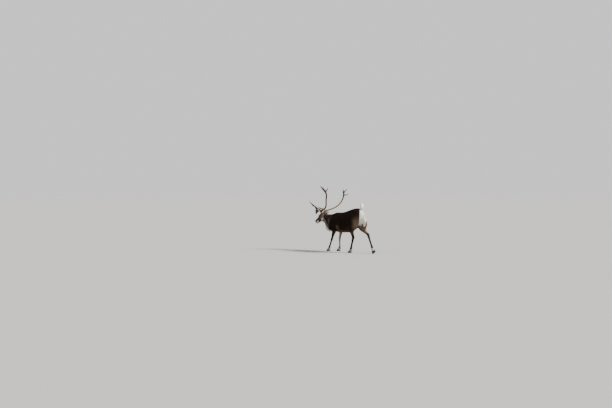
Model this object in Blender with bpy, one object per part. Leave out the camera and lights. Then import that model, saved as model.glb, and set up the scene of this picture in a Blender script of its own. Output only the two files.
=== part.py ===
"""A bull reindeer, life size, caught in mid stride with its head held low.

The animal looks towards -X, its right side is towards +Y and Z is up. It stands
on the floor at Z = 0. The body is modelled whole from rounded sections and limbs,
fused and smoothed, and then parted with cuts 0.3 mm wide into head, neck, torso,
tail and legs. Antlers, ears, eyes and hooves are built on the named sizes of what
they grow from. Lengths are metres.
"""

import math
import random

import bmesh
import bpy
import numpy as np
from mathutils import Matrix, Vector
from mathutils.bvhtree import BVHTree

GAP = 0.0003
LEFT = -1
RIGHT = 1
SIDE_NAMES = {LEFT: "left", RIGHT: "right"}
REACH = 4.0

# Driving sizes of the body
WITHERS_Z = 1.145
CROUP_Z = 1.277
BELLY_Z = 0.565
CHEST_X = -0.63
BUTTOCK_X = 0.632
BELLY_HALF_WIDTH = 0.232
FOOT_Y = 0.115

# Fusing and thinning of the body and head meshes
BODY_VOXEL = 0.0085
BODY_TRIANGLES = 3650
HEAD_VOXEL = 0.005
HEAD_TRIANGLES = 1200

# Head, in its own frame: X runs back from the nose, Z is up across the brow
NOSE = Vector((-1.315, 0.0, 0.832))
HEAD_PITCH = math.radians(34)
HEAD_LENGTH = 0.435
BROW_HEIGHT = 0.096
JAW_DEPTH = 0.116
MUZZLE_HALF_WIDTH = 0.051
CHEEK_HALF_WIDTH = 0.079
EYE_AT = (0.270, 0.0665, 0.046)
EYE_RADIUS = 0.0185
EYE_AXIS = (-0.30, 0.92, 0.12)
EYE_OPENING = (0.0165, 0.0090)
LID_THICKNESS = 0.0036
NOSTRIL_AT = (0.016, 0.031, 0.020)
MOUTH_MIDDLE = (0.082, -0.036)
MOUTH_CORNER_ANGLE = math.radians(104)
MOUTH_GROOVE = 0.0030
EAR_AT = (0.396, 0.060, 0.050)
EAR_LENGTH = 0.140
EAR_AXIS = (0.74, 0.58, 0.30)
EAR_MOUTH = (-0.22, 0.90, -0.20)
PEDICLE_AT = (0.385, 0.048, 0.084)
BURR_RADIUS = 0.032

# Hoof: the coronet stands this high over the sole, and its plane falls to the heel
CORONET_HEIGHT = 0.056
CORONET_LEVEL = -0.004
CORONET_FALL = 0.42
CLAW_TOE = 0.070
CLAW_HEEL = 0.046
CLAW_WIDTH = 0.051
CLAW_SPREAD = 0.0285
DEWCLAW_LENGTH = 0.052
TRAILING_HOOF_TILT = math.radians(58)
TRAILING_CORONET_Z = 0.0830


def head_to_world():
    """The head's frame: its X axis climbs from the nose to the poll."""
    return Matrix.Translation(NOSE) @ Matrix.Rotation(-HEAD_PITCH, 4, "Y")


def smoothed_rows(rows, steps):
    """Rows of numbers with `steps` smooth steps between each two, by Catmull-Rom."""
    rows = np.array(rows, float)
    ends = np.vstack([2 * rows[0] - rows[1], rows, 2 * rows[-1] - rows[-2]])
    out = []
    for i in range(len(rows) - 1):
        a, b, c, d = ends[i : i + 4]
        for k in range(steps):
            t = k / steps
            square = (2 * a - 5 * b + 4 * c - d) * t * t
            cube = (3 * b - a - 3 * c + d) * t**3
            out.append(0.5 * (2 * b + (c - a) * t + square + cube))
    out.append(rows[-1])
    return np.array(out)


def stacked(rings, tip=None):
    """A closed surface (points, faces) through rings of equal point counts, ended by a tip or a cap."""
    count = len(rings[0])
    points = [tuple(p) for ring in rings for p in ring]
    faces = []
    for i in range(len(rings) - 1):
        for k in range(count):
            n = (k + 1) % count
            a, b = i * count, (i + 1) * count
            faces.append((a + k, a + n, b + n, b + k))
    last = (len(rings) - 1) * count
    points.append(tuple(np.mean(np.array(rings[0]), axis=0)))
    points.append(tuple(np.mean(np.array(rings[-1]), axis=0)) if tip is None else tuple(tip))
    for k in range(count):
        n = (k + 1) % count
        faces.append((len(points) - 2, n, k))
        faces.append((len(points) - 1, last + k, last + n))
    return points, faces


def oval(width, up, down, sides, power=2.0):
    """Points (across, height) of an oval with its own height above and below."""
    out = []
    for k in range(sides):
        a = 2 * math.pi * k / sides
        c, s = math.cos(a), math.sin(a)
        across = width * math.copysign(abs(c) ** (2 / power), c)
        height = (up if s > 0 else down) * math.copysign(abs(s) ** (2 / power), s)
        out.append((across, height))
    return out


def trunk_shell(rows, sides, steps, power):
    """A body part lofted along X from (x, top, bottom, half width, height of the widest line)."""
    rings = []
    for x, top, bottom, width, level in smoothed_rows(rows, steps):
        middle = bottom + (top - bottom) * level
        outline = oval(max(width, 0.004), top - middle, middle - bottom, sides, power)
        rings.append([(x, y, middle + z) for y, z in outline])
    return stacked(rings)


def limb_shell(rows, sides, steps, tip=None):
    """A tube through (x, y, z, fore and aft radius, sideways radius), square to its path."""
    path = smoothed_rows(rows, steps)
    along = np.gradient(path[:, :3], axis=0)
    rings = []
    for row, direction in zip(path, along):
        middle = Vector(row[:3])
        direction = Vector(direction).normalized()
        fore_axis = Vector((0, 1, 0)).cross(direction).normalized()
        side_axis = direction.cross(fore_axis)
        ring = []
        for k in range(sides):
            a = 2 * math.pi * k / sides
            ring.append(middle + side_axis * (row[4] * math.cos(a)) + fore_axis * (row[3] * math.sin(a)))
        rings.append(ring)
    return stacked(rings, tip)


def ball_shell(centre, radii, tilt=0.0, sides=20):
    """An ellipsoid, tilted about Y, with its poles up and down."""
    turn = Matrix.Rotation(tilt, 3, "Y")
    rings = []
    levels = sides // 2
    for i in range(1, levels):
        lat = math.pi * i / levels - math.pi / 2
        ring = []
        for k in range(sides):
            a = 2 * math.pi * k / sides
            flat = math.cos(lat)
            spot = (radii[0] * flat * math.cos(a), radii[1] * flat * math.sin(a), radii[2] * math.sin(lat))
            ring.append(Vector(centre) + turn @ Vector(spot))
        rings.append(ring)
    points, faces = stacked(rings)
    points[-2] = tuple(Vector(centre) + turn @ Vector((0, 0, -radii[2])))
    points[-1] = tuple(Vector(centre) + turn @ Vector((0, 0, radii[2])))
    return points, faces


def moved(shell, matrix):
    """The same shell under a matrix."""
    points, faces = shell
    return [tuple(matrix @ Vector(p)) for p in points], faces


def mirrored(spot, side):
    """A place given for the right side, on the wanted side."""
    return Vector((spot[0], spot[1] * side, spot[2]))


# Mesh objects and Booleans
def new_object(name, shells):
    """One mesh object of closed shells, in triangles so that no face is bent, facing out."""
    work = bmesh.new()
    for points, faces in shells:
        verts = [work.verts.new(p) for p in points]
        for face in faces:
            work.faces.new([verts[i] for i in face])
    bmesh.ops.recalc_face_normals(work, faces=work.faces)
    bmesh.ops.triangulate(work, faces=work.faces)
    mesh = bpy.data.meshes.new(name)
    work.to_mesh(mesh)
    work.free()
    obj = bpy.data.objects.new(name, mesh)
    bpy.context.scene.collection.objects.link(obj)
    return obj


def apply_modifiers(obj):
    """The object's evaluated mesh becomes its own mesh."""
    bpy.context.view_layer.update()
    graph = bpy.context.evaluated_depsgraph_get()
    mesh = bpy.data.meshes.new_from_object(obj.evaluated_get(graph))
    obj.modifiers.clear()
    old = obj.data
    obj.data = mesh
    bpy.data.meshes.remove(old)


def is_closed(mesh):
    """Whether every edge lies between two faces."""
    work = bmesh.new()
    work.from_mesh(mesh)
    closed = all(len(edge.link_faces) == 2 for edge in work.edges)
    work.free()
    return closed


def combined(obj, operation, field, operand):
    """A Boolean applied to obj, by the EXACT solver, or by MANIFOLD where that leaves a hole."""
    source = obj.data
    for solver in ("EXACT", "MANIFOLD"):
        obj.data = source.copy()
        step = obj.modifiers.new("combine", "BOOLEAN")
        step.operation = operation
        step.solver = solver
        step.operand_type = field.upper()
        setattr(step, field, operand)
        apply_modifiers(obj)
        if is_closed(obj.data):
            break
    bpy.data.meshes.remove(source)
    return keep_largest(obj)


def carve(obj, other, operation):
    """Cuts obj with another object, or keeps what they share, and removes that other object."""
    combined(obj, operation, "object", other)
    bpy.data.objects.remove(other)
    return obj


def joined(obj, pieces):
    """One closed body of obj and a list of closed pieces, which are removed."""
    if not pieces:
        return obj
    group = bpy.data.collections.new("pieces")
    for piece in pieces:
        group.objects.link(piece)
    combined(obj, "UNION", "collection", group)
    for piece in pieces:
        bpy.data.objects.remove(piece)
    bpy.data.collections.remove(group)
    return obj


def keep_largest(obj):
    """Only the largest closed surface stays, so loose scraps and sealed hollows go."""
    work = bmesh.new()
    work.from_mesh(obj.data)
    left = set(work.faces)
    parts = []
    while left:
        stack = [left.pop()]
        found = set(stack)
        while stack:
            for edge in stack.pop().edges:
                for face in edge.link_faces:
                    if face in left:
                        left.remove(face)
                        found.add(face)
                        stack.append(face)
        parts.append(found)
    parts.sort(key=len, reverse=True)
    drop = [face for part in parts[1:] for face in part]
    if drop:
        bmesh.ops.delete(work, geom=drop, context="FACES")
        work.to_mesh(obj.data)
    work.free()
    return obj


def grown(obj, by=GAP):
    """A copy whose faces stand out by a small distance, to cut a neighbour clear of it."""
    twin = bpy.data.objects.new("grown", obj.data.copy())
    bpy.context.scene.collection.objects.link(twin)
    step = twin.modifiers.new("grow", "DISPLACE")
    step.strength = by
    step.mid_level = 0
    apply_modifiers(twin)
    return twin


def cell(planes, grow=0.0):
    """The space on the inner side of every plane. A plane is a point and its outward normal."""
    work = bmesh.new()
    bmesh.ops.create_cube(work, size=2 * REACH)
    for point, normal in planes:
        normal = Vector(normal).normalized()
        cut = bmesh.ops.bisect_plane(
            work,
            geom=work.verts[:] + work.edges[:] + work.faces[:],
            plane_co=Vector(point) + normal * grow,
            plane_no=normal,
            clear_outer=True,
        )
        edges = [e for e in cut["geom_cut"] if isinstance(e, bmesh.types.BMEdge)]
        bmesh.ops.edgeloop_fill(work, edges=edges)
    bmesh.ops.recalc_face_normals(work, faces=work.faces)
    mesh = bpy.data.meshes.new("cell")
    work.to_mesh(mesh)
    work.free()
    obj = bpy.data.objects.new("cell", mesh)
    bpy.context.scene.collection.objects.link(obj)
    return obj


def plane_through(a, b, c, inside):
    """The plane through three points, facing away from a point inside."""
    a, b, c = Vector(a), Vector(b), Vector(c)
    normal = (b - a).cross(c - a).normalized()
    if (Vector(inside) - a).dot(normal) > 0:
        normal = -normal
    return a, normal


def parted(rest, name, planes):
    """The piece of rest inside the cell, as a new object. rest keeps what is outside, GAP away."""
    piece = bpy.data.objects.new(name, rest.data.copy())
    bpy.context.scene.collection.objects.link(piece)
    carve(piece, cell(planes), "INTERSECT")
    carve(rest, cell(planes, GAP), "DIFFERENCE")
    return piece


def fused(name, shells, voxel):
    """Overlapping shells as one even mesh."""
    obj = new_object(name, shells)
    step = obj.modifiers.new("fuse", "REMESH")
    step.mode = "VOXEL"
    step.voxel_size = voxel
    apply_modifiers(obj)
    return obj


def relax(obj, rounds, weight_at):
    """Smooths a mesh by neighbour averages. weight_at gives each point's share, from 0 to 1."""
    mesh = obj.data
    co = np.empty(len(mesh.vertices) * 3, np.float32)
    mesh.vertices.foreach_get("co", co)
    co = co.reshape(-1, 3).astype(np.float64)
    edges = np.empty(len(mesh.edges) * 2, np.int32)
    mesh.edges.foreach_get("vertices", edges)
    a, b = edges.reshape(-1, 2).T
    degree = np.bincount(np.concatenate([a, b]), minlength=len(co))[:, None]
    weight = weight_at(co)[:, None]
    for _ in range(rounds):
        total = np.zeros_like(co)
        for i in range(3):
            total[:, i] += np.bincount(a, weights=co[b, i], minlength=len(co))
            total[:, i] += np.bincount(b, weights=co[a, i], minlength=len(co))
        co = co + weight * (total / degree - co)
    mesh.vertices.foreach_set("co", co.astype(np.float32).ravel())
    mesh.update()


def thinned(obj, triangles):
    """The mesh with about this many triangles, fewest where it is flattest."""
    work = bmesh.new()
    work.from_mesh(obj.data)
    bmesh.ops.triangulate(work, faces=work.faces)
    work.to_mesh(obj.data)
    work.free()
    step = obj.modifiers.new("thin", "DECIMATE")
    step.ratio = triangles / len(obj.data.polygons)
    apply_modifiers(obj)
    return obj


# Torso: place along X, back, belly, half width, level of the widest line
TORSO = (
    (CHEST_X, 0.95, 0.70, 0.075, 0.5),
    (CHEST_X + 0.06, 1.06, 0.630, 0.140, 0.5),
    (-0.45, WITHERS_Z - 0.010, BELLY_Z + 0.020, 0.186, 0.47),
    (-0.30, WITHERS_Z, BELLY_Z + 0.002, 0.212, 0.46),
    (-0.12, WITHERS_Z + 0.010, BELLY_Z, 0.228, 0.46),
    (0.06, WITHERS_Z + 0.055, BELLY_Z + 0.012, BELLY_HALF_WIDTH, 0.47),
    (0.22, CROUP_Z - 0.030, BELLY_Z + 0.06, 0.222, 0.51),
    (0.36, CROUP_Z, BELLY_Z + 0.14, 0.202, 0.56),
    (0.48, CROUP_Z - 0.004, BELLY_Z + 0.24, 0.168, 0.58),
    (0.57, CROUP_Z - 0.050, BELLY_Z + 0.33, 0.125, 0.58),
    (BUTTOCK_X, CROUP_Z - 0.150, BELLY_Z + 0.43, 0.062, 0.52),
)

# Neck, from the shoulders to behind the jaw: place, half depth and half width
NECK = (
    (-0.38, 0.0, 0.880, 0.245, 0.175),
    (-0.52, 0.0, 0.876, 0.232, 0.165),
    (-0.65, 0.0, 0.892, 0.205, 0.142),
    (-0.78, 0.0, 0.920, 0.170, 0.120),
    (-0.89, 0.0, 0.952, 0.146, 0.104),
    (-1.00, 0.0, 0.970, 0.122, 0.088),
    (-1.06, 0.0, 0.985, 0.088, 0.066),
)

# Mane under the neck: place, underside of the flesh, lowest tips of the hair, half width of the hair
MANE = (
    (-0.50, 0.660, 0.605, 0.090),
    (-0.62, 0.690, 0.572, 0.105),
    (-0.71, 0.720, 0.566, 0.102),
    (-0.80, 0.755, 0.588, 0.092),
    (-0.90, 0.805, 0.715, 0.082),
    (-0.98, 0.850, 0.805, 0.066),
    (-1.04, 0.880, 0.862, 0.045),
)
MANE_CORE_SHARE = 0.45
MANE_ROOT_DEPTH = 0.12

# Head: place back from the nose, top, bottom, half width, level of the widest line
HEAD = (
    (0.000, 0.030, -0.024, 0.028, 0.5),
    (0.010, 0.048, -0.046, MUZZLE_HALF_WIDTH - 0.008, 0.5),
    (0.030, 0.059, -0.060, MUZZLE_HALF_WIDTH, 0.52),
    (0.070, 0.063, -0.066, MUZZLE_HALF_WIDTH + 0.001, 0.52),
    (0.120, 0.067, -0.070, MUZZLE_HALF_WIDTH - 0.002, 0.52),
    (0.180, 0.075, -0.078, 0.054, 0.53),
    (0.235, 0.088, -0.092, 0.067, 0.56),
    (0.285, BROW_HEIGHT, -0.107, CHEEK_HALF_WIDTH, 0.60),
    (0.340, BROW_HEIGHT + 0.004, -JAW_DEPTH, CHEEK_HALF_WIDTH + 0.001, 0.58),
    (0.385, BROW_HEIGHT - 0.006, -JAW_DEPTH + 0.004, 0.074, 0.55),
    (HEAD_LENGTH, 0.064, -0.078, 0.054, 0.5),
)

# Legs, each row: between which joints and how far along, fore and aft radius, sideways radius
FORE_PROFILE = (
    (("shoulder", "elbow", 0.0), 0.106, 0.072),
    (("shoulder", "elbow", 0.6), 0.104, 0.068),
    (("elbow", "knee", 0.04), 0.084, 0.058),
    (("elbow", "knee", 0.28), 0.062, 0.047),
    (("elbow", "knee", 0.58), 0.042, 0.036),
    (("elbow", "knee", 0.84), 0.034, 0.031),
    (("elbow", "knee", 1.0), 0.037, 0.034),
    (("knee", "fetlock", 0.16), 0.030, 0.028),
    (("knee", "fetlock", 0.45), 0.0265, 0.024),
    (("knee", "fetlock", 0.78), 0.0275, 0.025),
    (("knee", "fetlock", 1.0), 0.034, 0.031),
    (("fetlock", "coronet", 0.55), 0.031, 0.033),
    (("fetlock", "coronet", 1.0), 0.036, 0.043),
    (("fetlock", "coronet", 1.3), 0.036, 0.043),
)
HIND_PROFILE = (
    (("hip", "stifle", 0.0), 0.150, 0.085),
    (("hip", "stifle", 0.45), 0.145, 0.090),
    (("hip", "stifle", 0.9), 0.112, 0.080),
    (("stifle", "hock", 0.25), 0.084, 0.063),
    (("stifle", "hock", 0.55), 0.058, 0.047),
    (("stifle", "hock", 0.82), 0.043, 0.036),
    (("stifle", "hock", 1.0), 0.046, 0.037),
    (("hock", "fetlock", 0.14), 0.038, 0.032),
    (("hock", "fetlock", 0.45), 0.0305, 0.027),
    (("hock", "fetlock", 0.80), 0.0305, 0.0275),
    (("hock", "fetlock", 1.0), 0.035, 0.032),
    (("fetlock", "coronet", 0.55), 0.031, 0.033),
    (("fetlock", "coronet", 1.0), 0.036, 0.043),
    (("fetlock", "coronet", 1.3), 0.036, 0.043),
)

# Joints of each leg, with Y as for the right side
LEGS = {
    ("fore", LEFT): {
        "shoulder": (-0.490, 0.120, 0.850),
        "elbow": (-0.375, 0.145, 0.670),
        "knee": (-0.502, 0.135, 0.362),
        "fetlock": (-0.620, 0.120, 0.114),
        "coronet": (-0.668, FOOT_Y, CORONET_HEIGHT),
    },
    ("fore", RIGHT): {
        "shoulder": (-0.490, 0.120, 0.850),
        "elbow": (-0.385, 0.145, 0.670),
        "knee": (-0.450, 0.135, 0.372),
        "fetlock": (-0.432, 0.120, 0.120),
        "coronet": (-0.470, FOOT_Y, CORONET_HEIGHT),
    },
    ("hind", LEFT): {
        "hip": (0.415, 0.105, 1.010),
        "stifle": (0.270, 0.150, 0.745),
        "hock": (0.375, 0.135, 0.450),
        "fetlock": (0.268, 0.120, 0.124),
        "coronet": (0.221, FOOT_Y, CORONET_HEIGHT),
    },
    ("hind", RIGHT): {
        "hip": (0.415, 0.105, 1.010),
        "stifle": (0.415, 0.150, 0.730),
        "hock": (0.700, 0.135, 0.530),
        "fetlock": (0.866, 0.120, 0.190),
        "coronet": (0.906, FOOT_Y, TRAILING_CORONET_Z),
    },
}


def leg_path(kind, side):
    """The path of one leg, from its upper joint to just under the coronet of the hoof."""
    joints = LEGS[kind, side]
    rows = []
    for (a, b, share), fore, wide in FORE_PROFILE if kind == "fore" else HIND_PROFILE:
        spot = Vector(joints[a]).lerp(Vector(joints[b]), share)
        rows.append((*mirrored(spot, side), fore, wide))
    return rows


def shoulder_shells(side):
    """The shoulder blade and the point of the elbow."""
    elbow = mirrored(LEGS["fore", side]["elbow"], side)
    return [
        ball_shell((-0.425, 0.118 * side, 0.865), (0.150, 0.080, 0.225), 0.30),
        ball_shell(elbow + Vector((0.045, 0, 0.020)), (0.048, 0.036, 0.052)),
    ]


def haunch_shells(side):
    """The rump, the hamstrings from the seat bone to the calf, and the heel cord."""
    joints = LEGS["hind", side]
    stifle = mirrored(joints["stifle"], side)
    hock = mirrored(joints["hock"], side)
    heel = hock + (stifle - hock).normalized() * 0.045 + Vector((0.036, 0, 0))
    calf = stifle.lerp(hock, 0.36) + Vector((0.042, 0, 0.005))
    seat = Vector((0.520, 0.080 * side, 1.030))
    back_of_thigh = seat.lerp(calf, 0.50) + Vector((0.052, 0.008 * side, 0.010))
    return [
        ball_shell((0.415, 0.100 * side, 1.03), (0.180, 0.095, 0.205), -0.2),
        limb_shell(
            [
                (*(seat + Vector((-0.03, 0, 0.09))), 0.060, 0.060),
                (*seat, 0.086, 0.080),
                (*back_of_thigh, 0.078, 0.068),
                (*seat.lerp(calf, 0.86), 0.062, 0.050),
                (*calf, 0.046, 0.036),
                (*calf.lerp(heel, 0.6), 0.022, 0.017),
                (*heel, 0.021, 0.019),
                (*(heel + Vector((-0.012, 0, -0.045))), 0.019, 0.020),
            ],
            16,
            3,
        ),
    ]


def head_shells():
    """The head with cheeks, chin, muzzle pads, brow and the stubs that carry the antlers."""
    shells = [
        trunk_shell(HEAD, 28, 4, 2.3),
        ball_shell((0.044, 0, -0.056), (0.040, 0.033, 0.020)),
        limb_shell([(x, 0, z, r, w) for x, z, r, w in JAW], 16, 3),
    ]
    for side in (LEFT, RIGHT):
        shells.append(ball_shell((0.034, 0.025 * side, 0.008), (0.034, 0.030, 0.046)))
        shells.append(ball_shell((0.330, 0.047 * side, -0.042), (0.072, 0.036, 0.068)))
        eye = mirrored(EYE_AT, side)
        shells.append(ball_shell(eye + Vector((0.004, -0.016 * side, 0.004)), (0.038, 0.028, 0.030)))
        base = mirrored(PEDICLE_AT, side)
        rise = Vector((0.012, 0.012 * side, 0.045))
        stub = [(*(base - rise), 0.036, 0.032), (*base, 0.028, 0.027), (*(base + rise * 0.3), 0.026, 0.025)]
        shells.append(limb_shell(stub, 14, 4))
    return [moved(shell, head_to_world()) for shell in shells]


# Lower jaw: place back from the nose, height, half depth, half width
JAW = (
    (0.035, -0.050, 0.018, 0.026),
    (0.120, -0.060, 0.022, 0.032),
    (0.220, -0.078, 0.028, 0.040),
    (0.310, -0.090, 0.034, 0.046),
    (0.372, -0.078, 0.036, 0.044),
)

# Tail, raised: its core under the hair
TAIL = (
    (0.510, 0.0, 1.225, 0.040, 0.045),
    (0.562, 0.0, 1.262, 0.027, 0.033),
    (0.580, 0.0, 1.305, 0.021, 0.027),
    (0.582, 0.0, 1.345, 0.013, 0.018),
)


def mane_core():
    """The dense hair under the neck, out to a share of the way from the flesh to the tips."""
    rows = []
    for x, flesh, tips, width in MANE:
        bottom = flesh + (tips - flesh) * MANE_CORE_SHARE
        top = flesh + MANE_ROOT_DEPTH
        rows.append((x, 0.0, (top + bottom) / 2, (top - bottom) / 2, width))
    return limb_shell(rows, 20, 3)


def body_shells():
    """Every rounded form that the fused body is made of."""
    shells = [trunk_shell(TORSO, 36, 4, 2.2), limb_shell(NECK, 28, 4), limb_shell(TAIL, 14, 4)]
    shells.append(mane_core())
    for kind, side in LEGS:
        shells.append(limb_shell(leg_path(kind, side), 18, 4))
        shells += shoulder_shells(side) if kind == "fore" else haunch_shells(side)
    return shells + head_shells()


def body_softness(co):
    """How strongly each place is smoothed: the trunk most, little on the legs, head and tail."""
    trunk = np.clip((co[:, 2] - 0.60) / 0.15, 0, 1)
    head = np.clip((co[:, 0] + 0.98) / 0.10, 0, 1)
    tail = np.clip((1.31 - co[:, 2]) / 0.05, 0, 1)
    return 0.10 + 0.65 * trunk * head * tail


def head_softness(co):
    """Even and light smoothing of the head."""
    return np.full(len(co), 0.45)


def fused_body():
    """The whole animal without antlers, ears and hooves, as one smooth mesh."""
    body = fused("body", body_shells(), BODY_VOXEL)
    relax(body, 26, body_softness)
    return thinned(body, BODY_TRIANGLES)


# Cuts that part the body
NECK_CUT = [((-0.44, 0.0, 1.15), (1.0, 0.0, -0.28))]
TAIL_CUT = [((0.560, 0.0, 1.276), (-0.35, 0.0, -0.94))]


def head_cut():
    """Behind the jaw, the ears and the antlers, and clear above the forefeet."""
    frame = head_to_world()
    return [
        (frame @ Vector((0.430, 0, 0)), frame.to_3x3() @ Vector((1, 0, -0.22))),
        ((0, 0, BELLY_Z), (0, 0, -1)),
    ]


def fore_cut(side):
    """From the armpit up and out behind the shoulder blade."""
    inside = (-0.38, 0.20 * side, 0.60)
    inner = [(-0.30, 0.05 * side, 0.57), (-0.55, 0.03 * side, 0.63), (-0.42, 0.13 * side, 1.00)]
    return [
        ((0, GAP / 2 * side, 0), (0, -side, 0)),
        plane_through(*inner, inside),
        plane_through((-0.215, 0, 0.55), (-0.215, 1, 0.55), (-0.29, 0, 0.95), inside),
        plane_through((-0.29, 0, 0.97), (-0.29, 1, 0.97), (-0.60, 0, 0.90), inside),
    ]


def hind_cut(side):
    """From the groin up and out over the hip, down to the flank."""
    inside = (0.42, 0.20 * side, 0.75)
    inner = [(0.20, 0.06 * side, 0.60), (0.50, 0.01 * side, 0.72), (0.42, 0.12 * side, 1.14)]
    return [
        ((0, GAP / 2 * side, 0), (0, -side, 0)),
        plane_through(*inner, inside),
        plane_through((0.13, 0, 0.58), (0.13, 1, 0.58), (0.22, 0, 0.98), inside),
        plane_through((0.22, 0, 1.00), (0.22, 1, 1.00), (0.64, 0, 1.13), inside),
    ]


def joint_cut(kind, side):
    """Square across the knee or the hock. The lower leg is inside."""
    joints = LEGS[kind, side]
    upper = mirrored(joints["elbow" if kind == "fore" else "stifle"], side)
    middle = mirrored(joints["knee" if kind == "fore" else "hock"], side)
    lower = mirrored(joints["fetlock"], side)
    down = (middle - upper).normalized() + (lower - middle).normalized()
    return [(middle, -down)]


def foot_to_world(kind, side):
    """The foot's frame: its origin in the middle of the coronet, the toe towards -X."""
    tilt = TRAILING_HOOF_TILT if (kind, side) == ("hind", RIGHT) else 0.0
    middle = mirrored(LEGS[kind, side]["coronet"], side)
    return Matrix.Translation(middle) @ Matrix.Rotation(-tilt, 4, "Y")


def coronet_cut(kind, side):
    """The plane between the skin of the foot and the hooves. The foot is inside, above it."""
    frame = foot_to_world(kind, side)
    point = frame @ Vector((0, 0, CORONET_LEVEL))
    return [(point, frame.to_3x3() @ Vector((-CORONET_FALL, 0, -1)))]


# Locks of the mane and the tail
LOCK_SINK = 0.022
LOCK_SHAPE = ((0.0, 0.75), (0.45, 1.0), (0.78, 0.62))
LOCK_SECTION = ((1, 0), (0, 1), (-1, 0), (0, -1))


def lock(root, outward, bend, tip, width, thickness):
    """A flat tapered lock from inside the surface, through a bend, out to its tip."""
    start = root - outward * LOCK_SINK
    rings = []
    for share, size in LOCK_SHAPE:
        middle = start.lerp(bend, share).lerp(bend.lerp(tip, share), share)
        along = (bend.lerp(tip, share) - start.lerp(bend, share)).normalized()
        across = along.cross(outward).normalized()
        flat = across.cross(along)
        ring = [middle + across * (a * width * size) + flat * (b * thickness * size) for a, b in LOCK_SECTION]
        rings.append(ring)
    return new_object("lock", [stacked(rings, tip)])


def surface_below(tree, start, direction):
    """Where a line from inside the body leaves it, with the normal there."""
    spot, normal = tree.ray_cast(Vector(start), Vector(direction).normalized())[:2]
    return spot, normal


def mane_tips(x):
    """The height of the mane's lowest tips along the neck."""
    places = [row[0] for row in reversed(MANE)]
    return float(np.interp(x, places, [row[2] for row in reversed(MANE)]))


def fringe_locks(tree, rng):
    """The long hair that hangs under the neck, in five lines."""
    out = []
    for line, y in enumerate((-0.088, -0.046, 0.0, 0.046, 0.088)):
        shift = 0.022 if line % 2 else 0.0
        for x in np.arange(-0.850 + shift, -0.565, 0.048):
            root, outward = surface_below(tree, (x, 0, 0.88), (0, y * 3.0, -0.24))
            drift = rng.uniform(0.025, 0.060)
            rise = 0.32 * abs(y) + rng.uniform(0.0, 0.022)
            tip = Vector((x + drift, root.y * rng.uniform(0.75, 1.0), mane_tips(x + drift) + rise))
            fall = root.z - tip.z
            bend = root + outward * 0.012 + Vector((-0.014, 0, -0.55 * fall))
            out.append(lock(root, outward, bend, tip, rng.uniform(0.018, 0.025), 0.007))
    return out


def throat_locks(tree, rng):
    """The front of the mane, hanging forward under the throat."""
    out = []
    for k, y in enumerate((-0.056, -0.020, 0.020, 0.056)):
        root, outward = surface_below(tree, (-0.80, y, 0.762 - 0.018 * (k % 2)), (-1, 0, 0))
        tip = root + Vector((-rng.uniform(0.050, 0.070), y * 0.2, -rng.uniform(0.075, 0.095)))
        bend = root + Vector((-0.040, 0, -0.020))
        out.append(lock(root, outward, bend, tip, 0.021, 0.007))
    return out


def side_locks(tree, rng, side):
    """Locks over the side of the neck, lying back and down."""
    out = []
    for row, angle in enumerate((56, 78, 100, 122)):
        shift = 0.030 if row % 2 else 0.0
        for x in np.arange(-0.885 + shift, -0.60, 0.063):
            turn = math.radians(angle + rng.uniform(-6, 6))
            root, outward = surface_below(tree, (x, 0, 0.92), (0, math.sin(turn) * side, math.cos(turn)))
            length = rng.uniform(0.135, 0.180)
            lie = Vector((rng.uniform(0.50, 0.68), 0.10 * side, -0.72)).normalized()
            near, normal = tree.find_nearest(root + lie * length)[:2]
            tip = near + normal * rng.uniform(0.010, 0.020)
            near, normal = tree.find_nearest(root + lie * length * 0.5)[:2]
            bend = near + normal * 0.022
            out.append(lock(root, outward, bend, tip, rng.uniform(0.017, 0.023), 0.007))
    return out


# Tail locks: height of the roots on the core, length, how many round it
TAIL_ROWS = ((1.288, 0.085, 5), (1.312, 0.086, 4), (1.335, 0.078, 3))


def tail_locks(rng):
    """White hair round the raised tail, opening towards its tip."""
    out = []
    for level, (start, length, count) in enumerate(TAIL_ROWS):
        for k in range(count):
            turn = 2 * math.pi * (k + 0.5 * level + rng.uniform(-0.15, 0.15)) / count
            outward = Vector((math.cos(turn), math.sin(turn), 0.0))
            root = Vector((0.580, 0, start)) + outward * (0.019 - 0.004 * level)
            reach = length * rng.uniform(0.85, 1.08)
            tip = root + Vector((0, 0, reach)) + outward * rng.uniform(0.004, 0.016)
            bend = root + outward * 0.016 + Vector((0, 0, reach * 0.45))
            out.append(lock(root, outward, bend, tip, rng.uniform(0.012, 0.015), 0.006))
    return out


def maned(neck, neighbours):
    """The neck with its locks, cut clear of what they hang over."""
    rng = random.Random(7)
    tree = BVHTree.FromObject(neck, bpy.context.evaluated_depsgraph_get())
    locks = fringe_locks(tree, rng) + throat_locks(tree, rng)
    joined(neck, locks + side_locks(tree, rng, LEFT) + side_locks(tree, rng, RIGHT))
    for neighbour in neighbours:
        carve(neck, grown(neighbour), "DIFFERENCE")
    return neck


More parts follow.
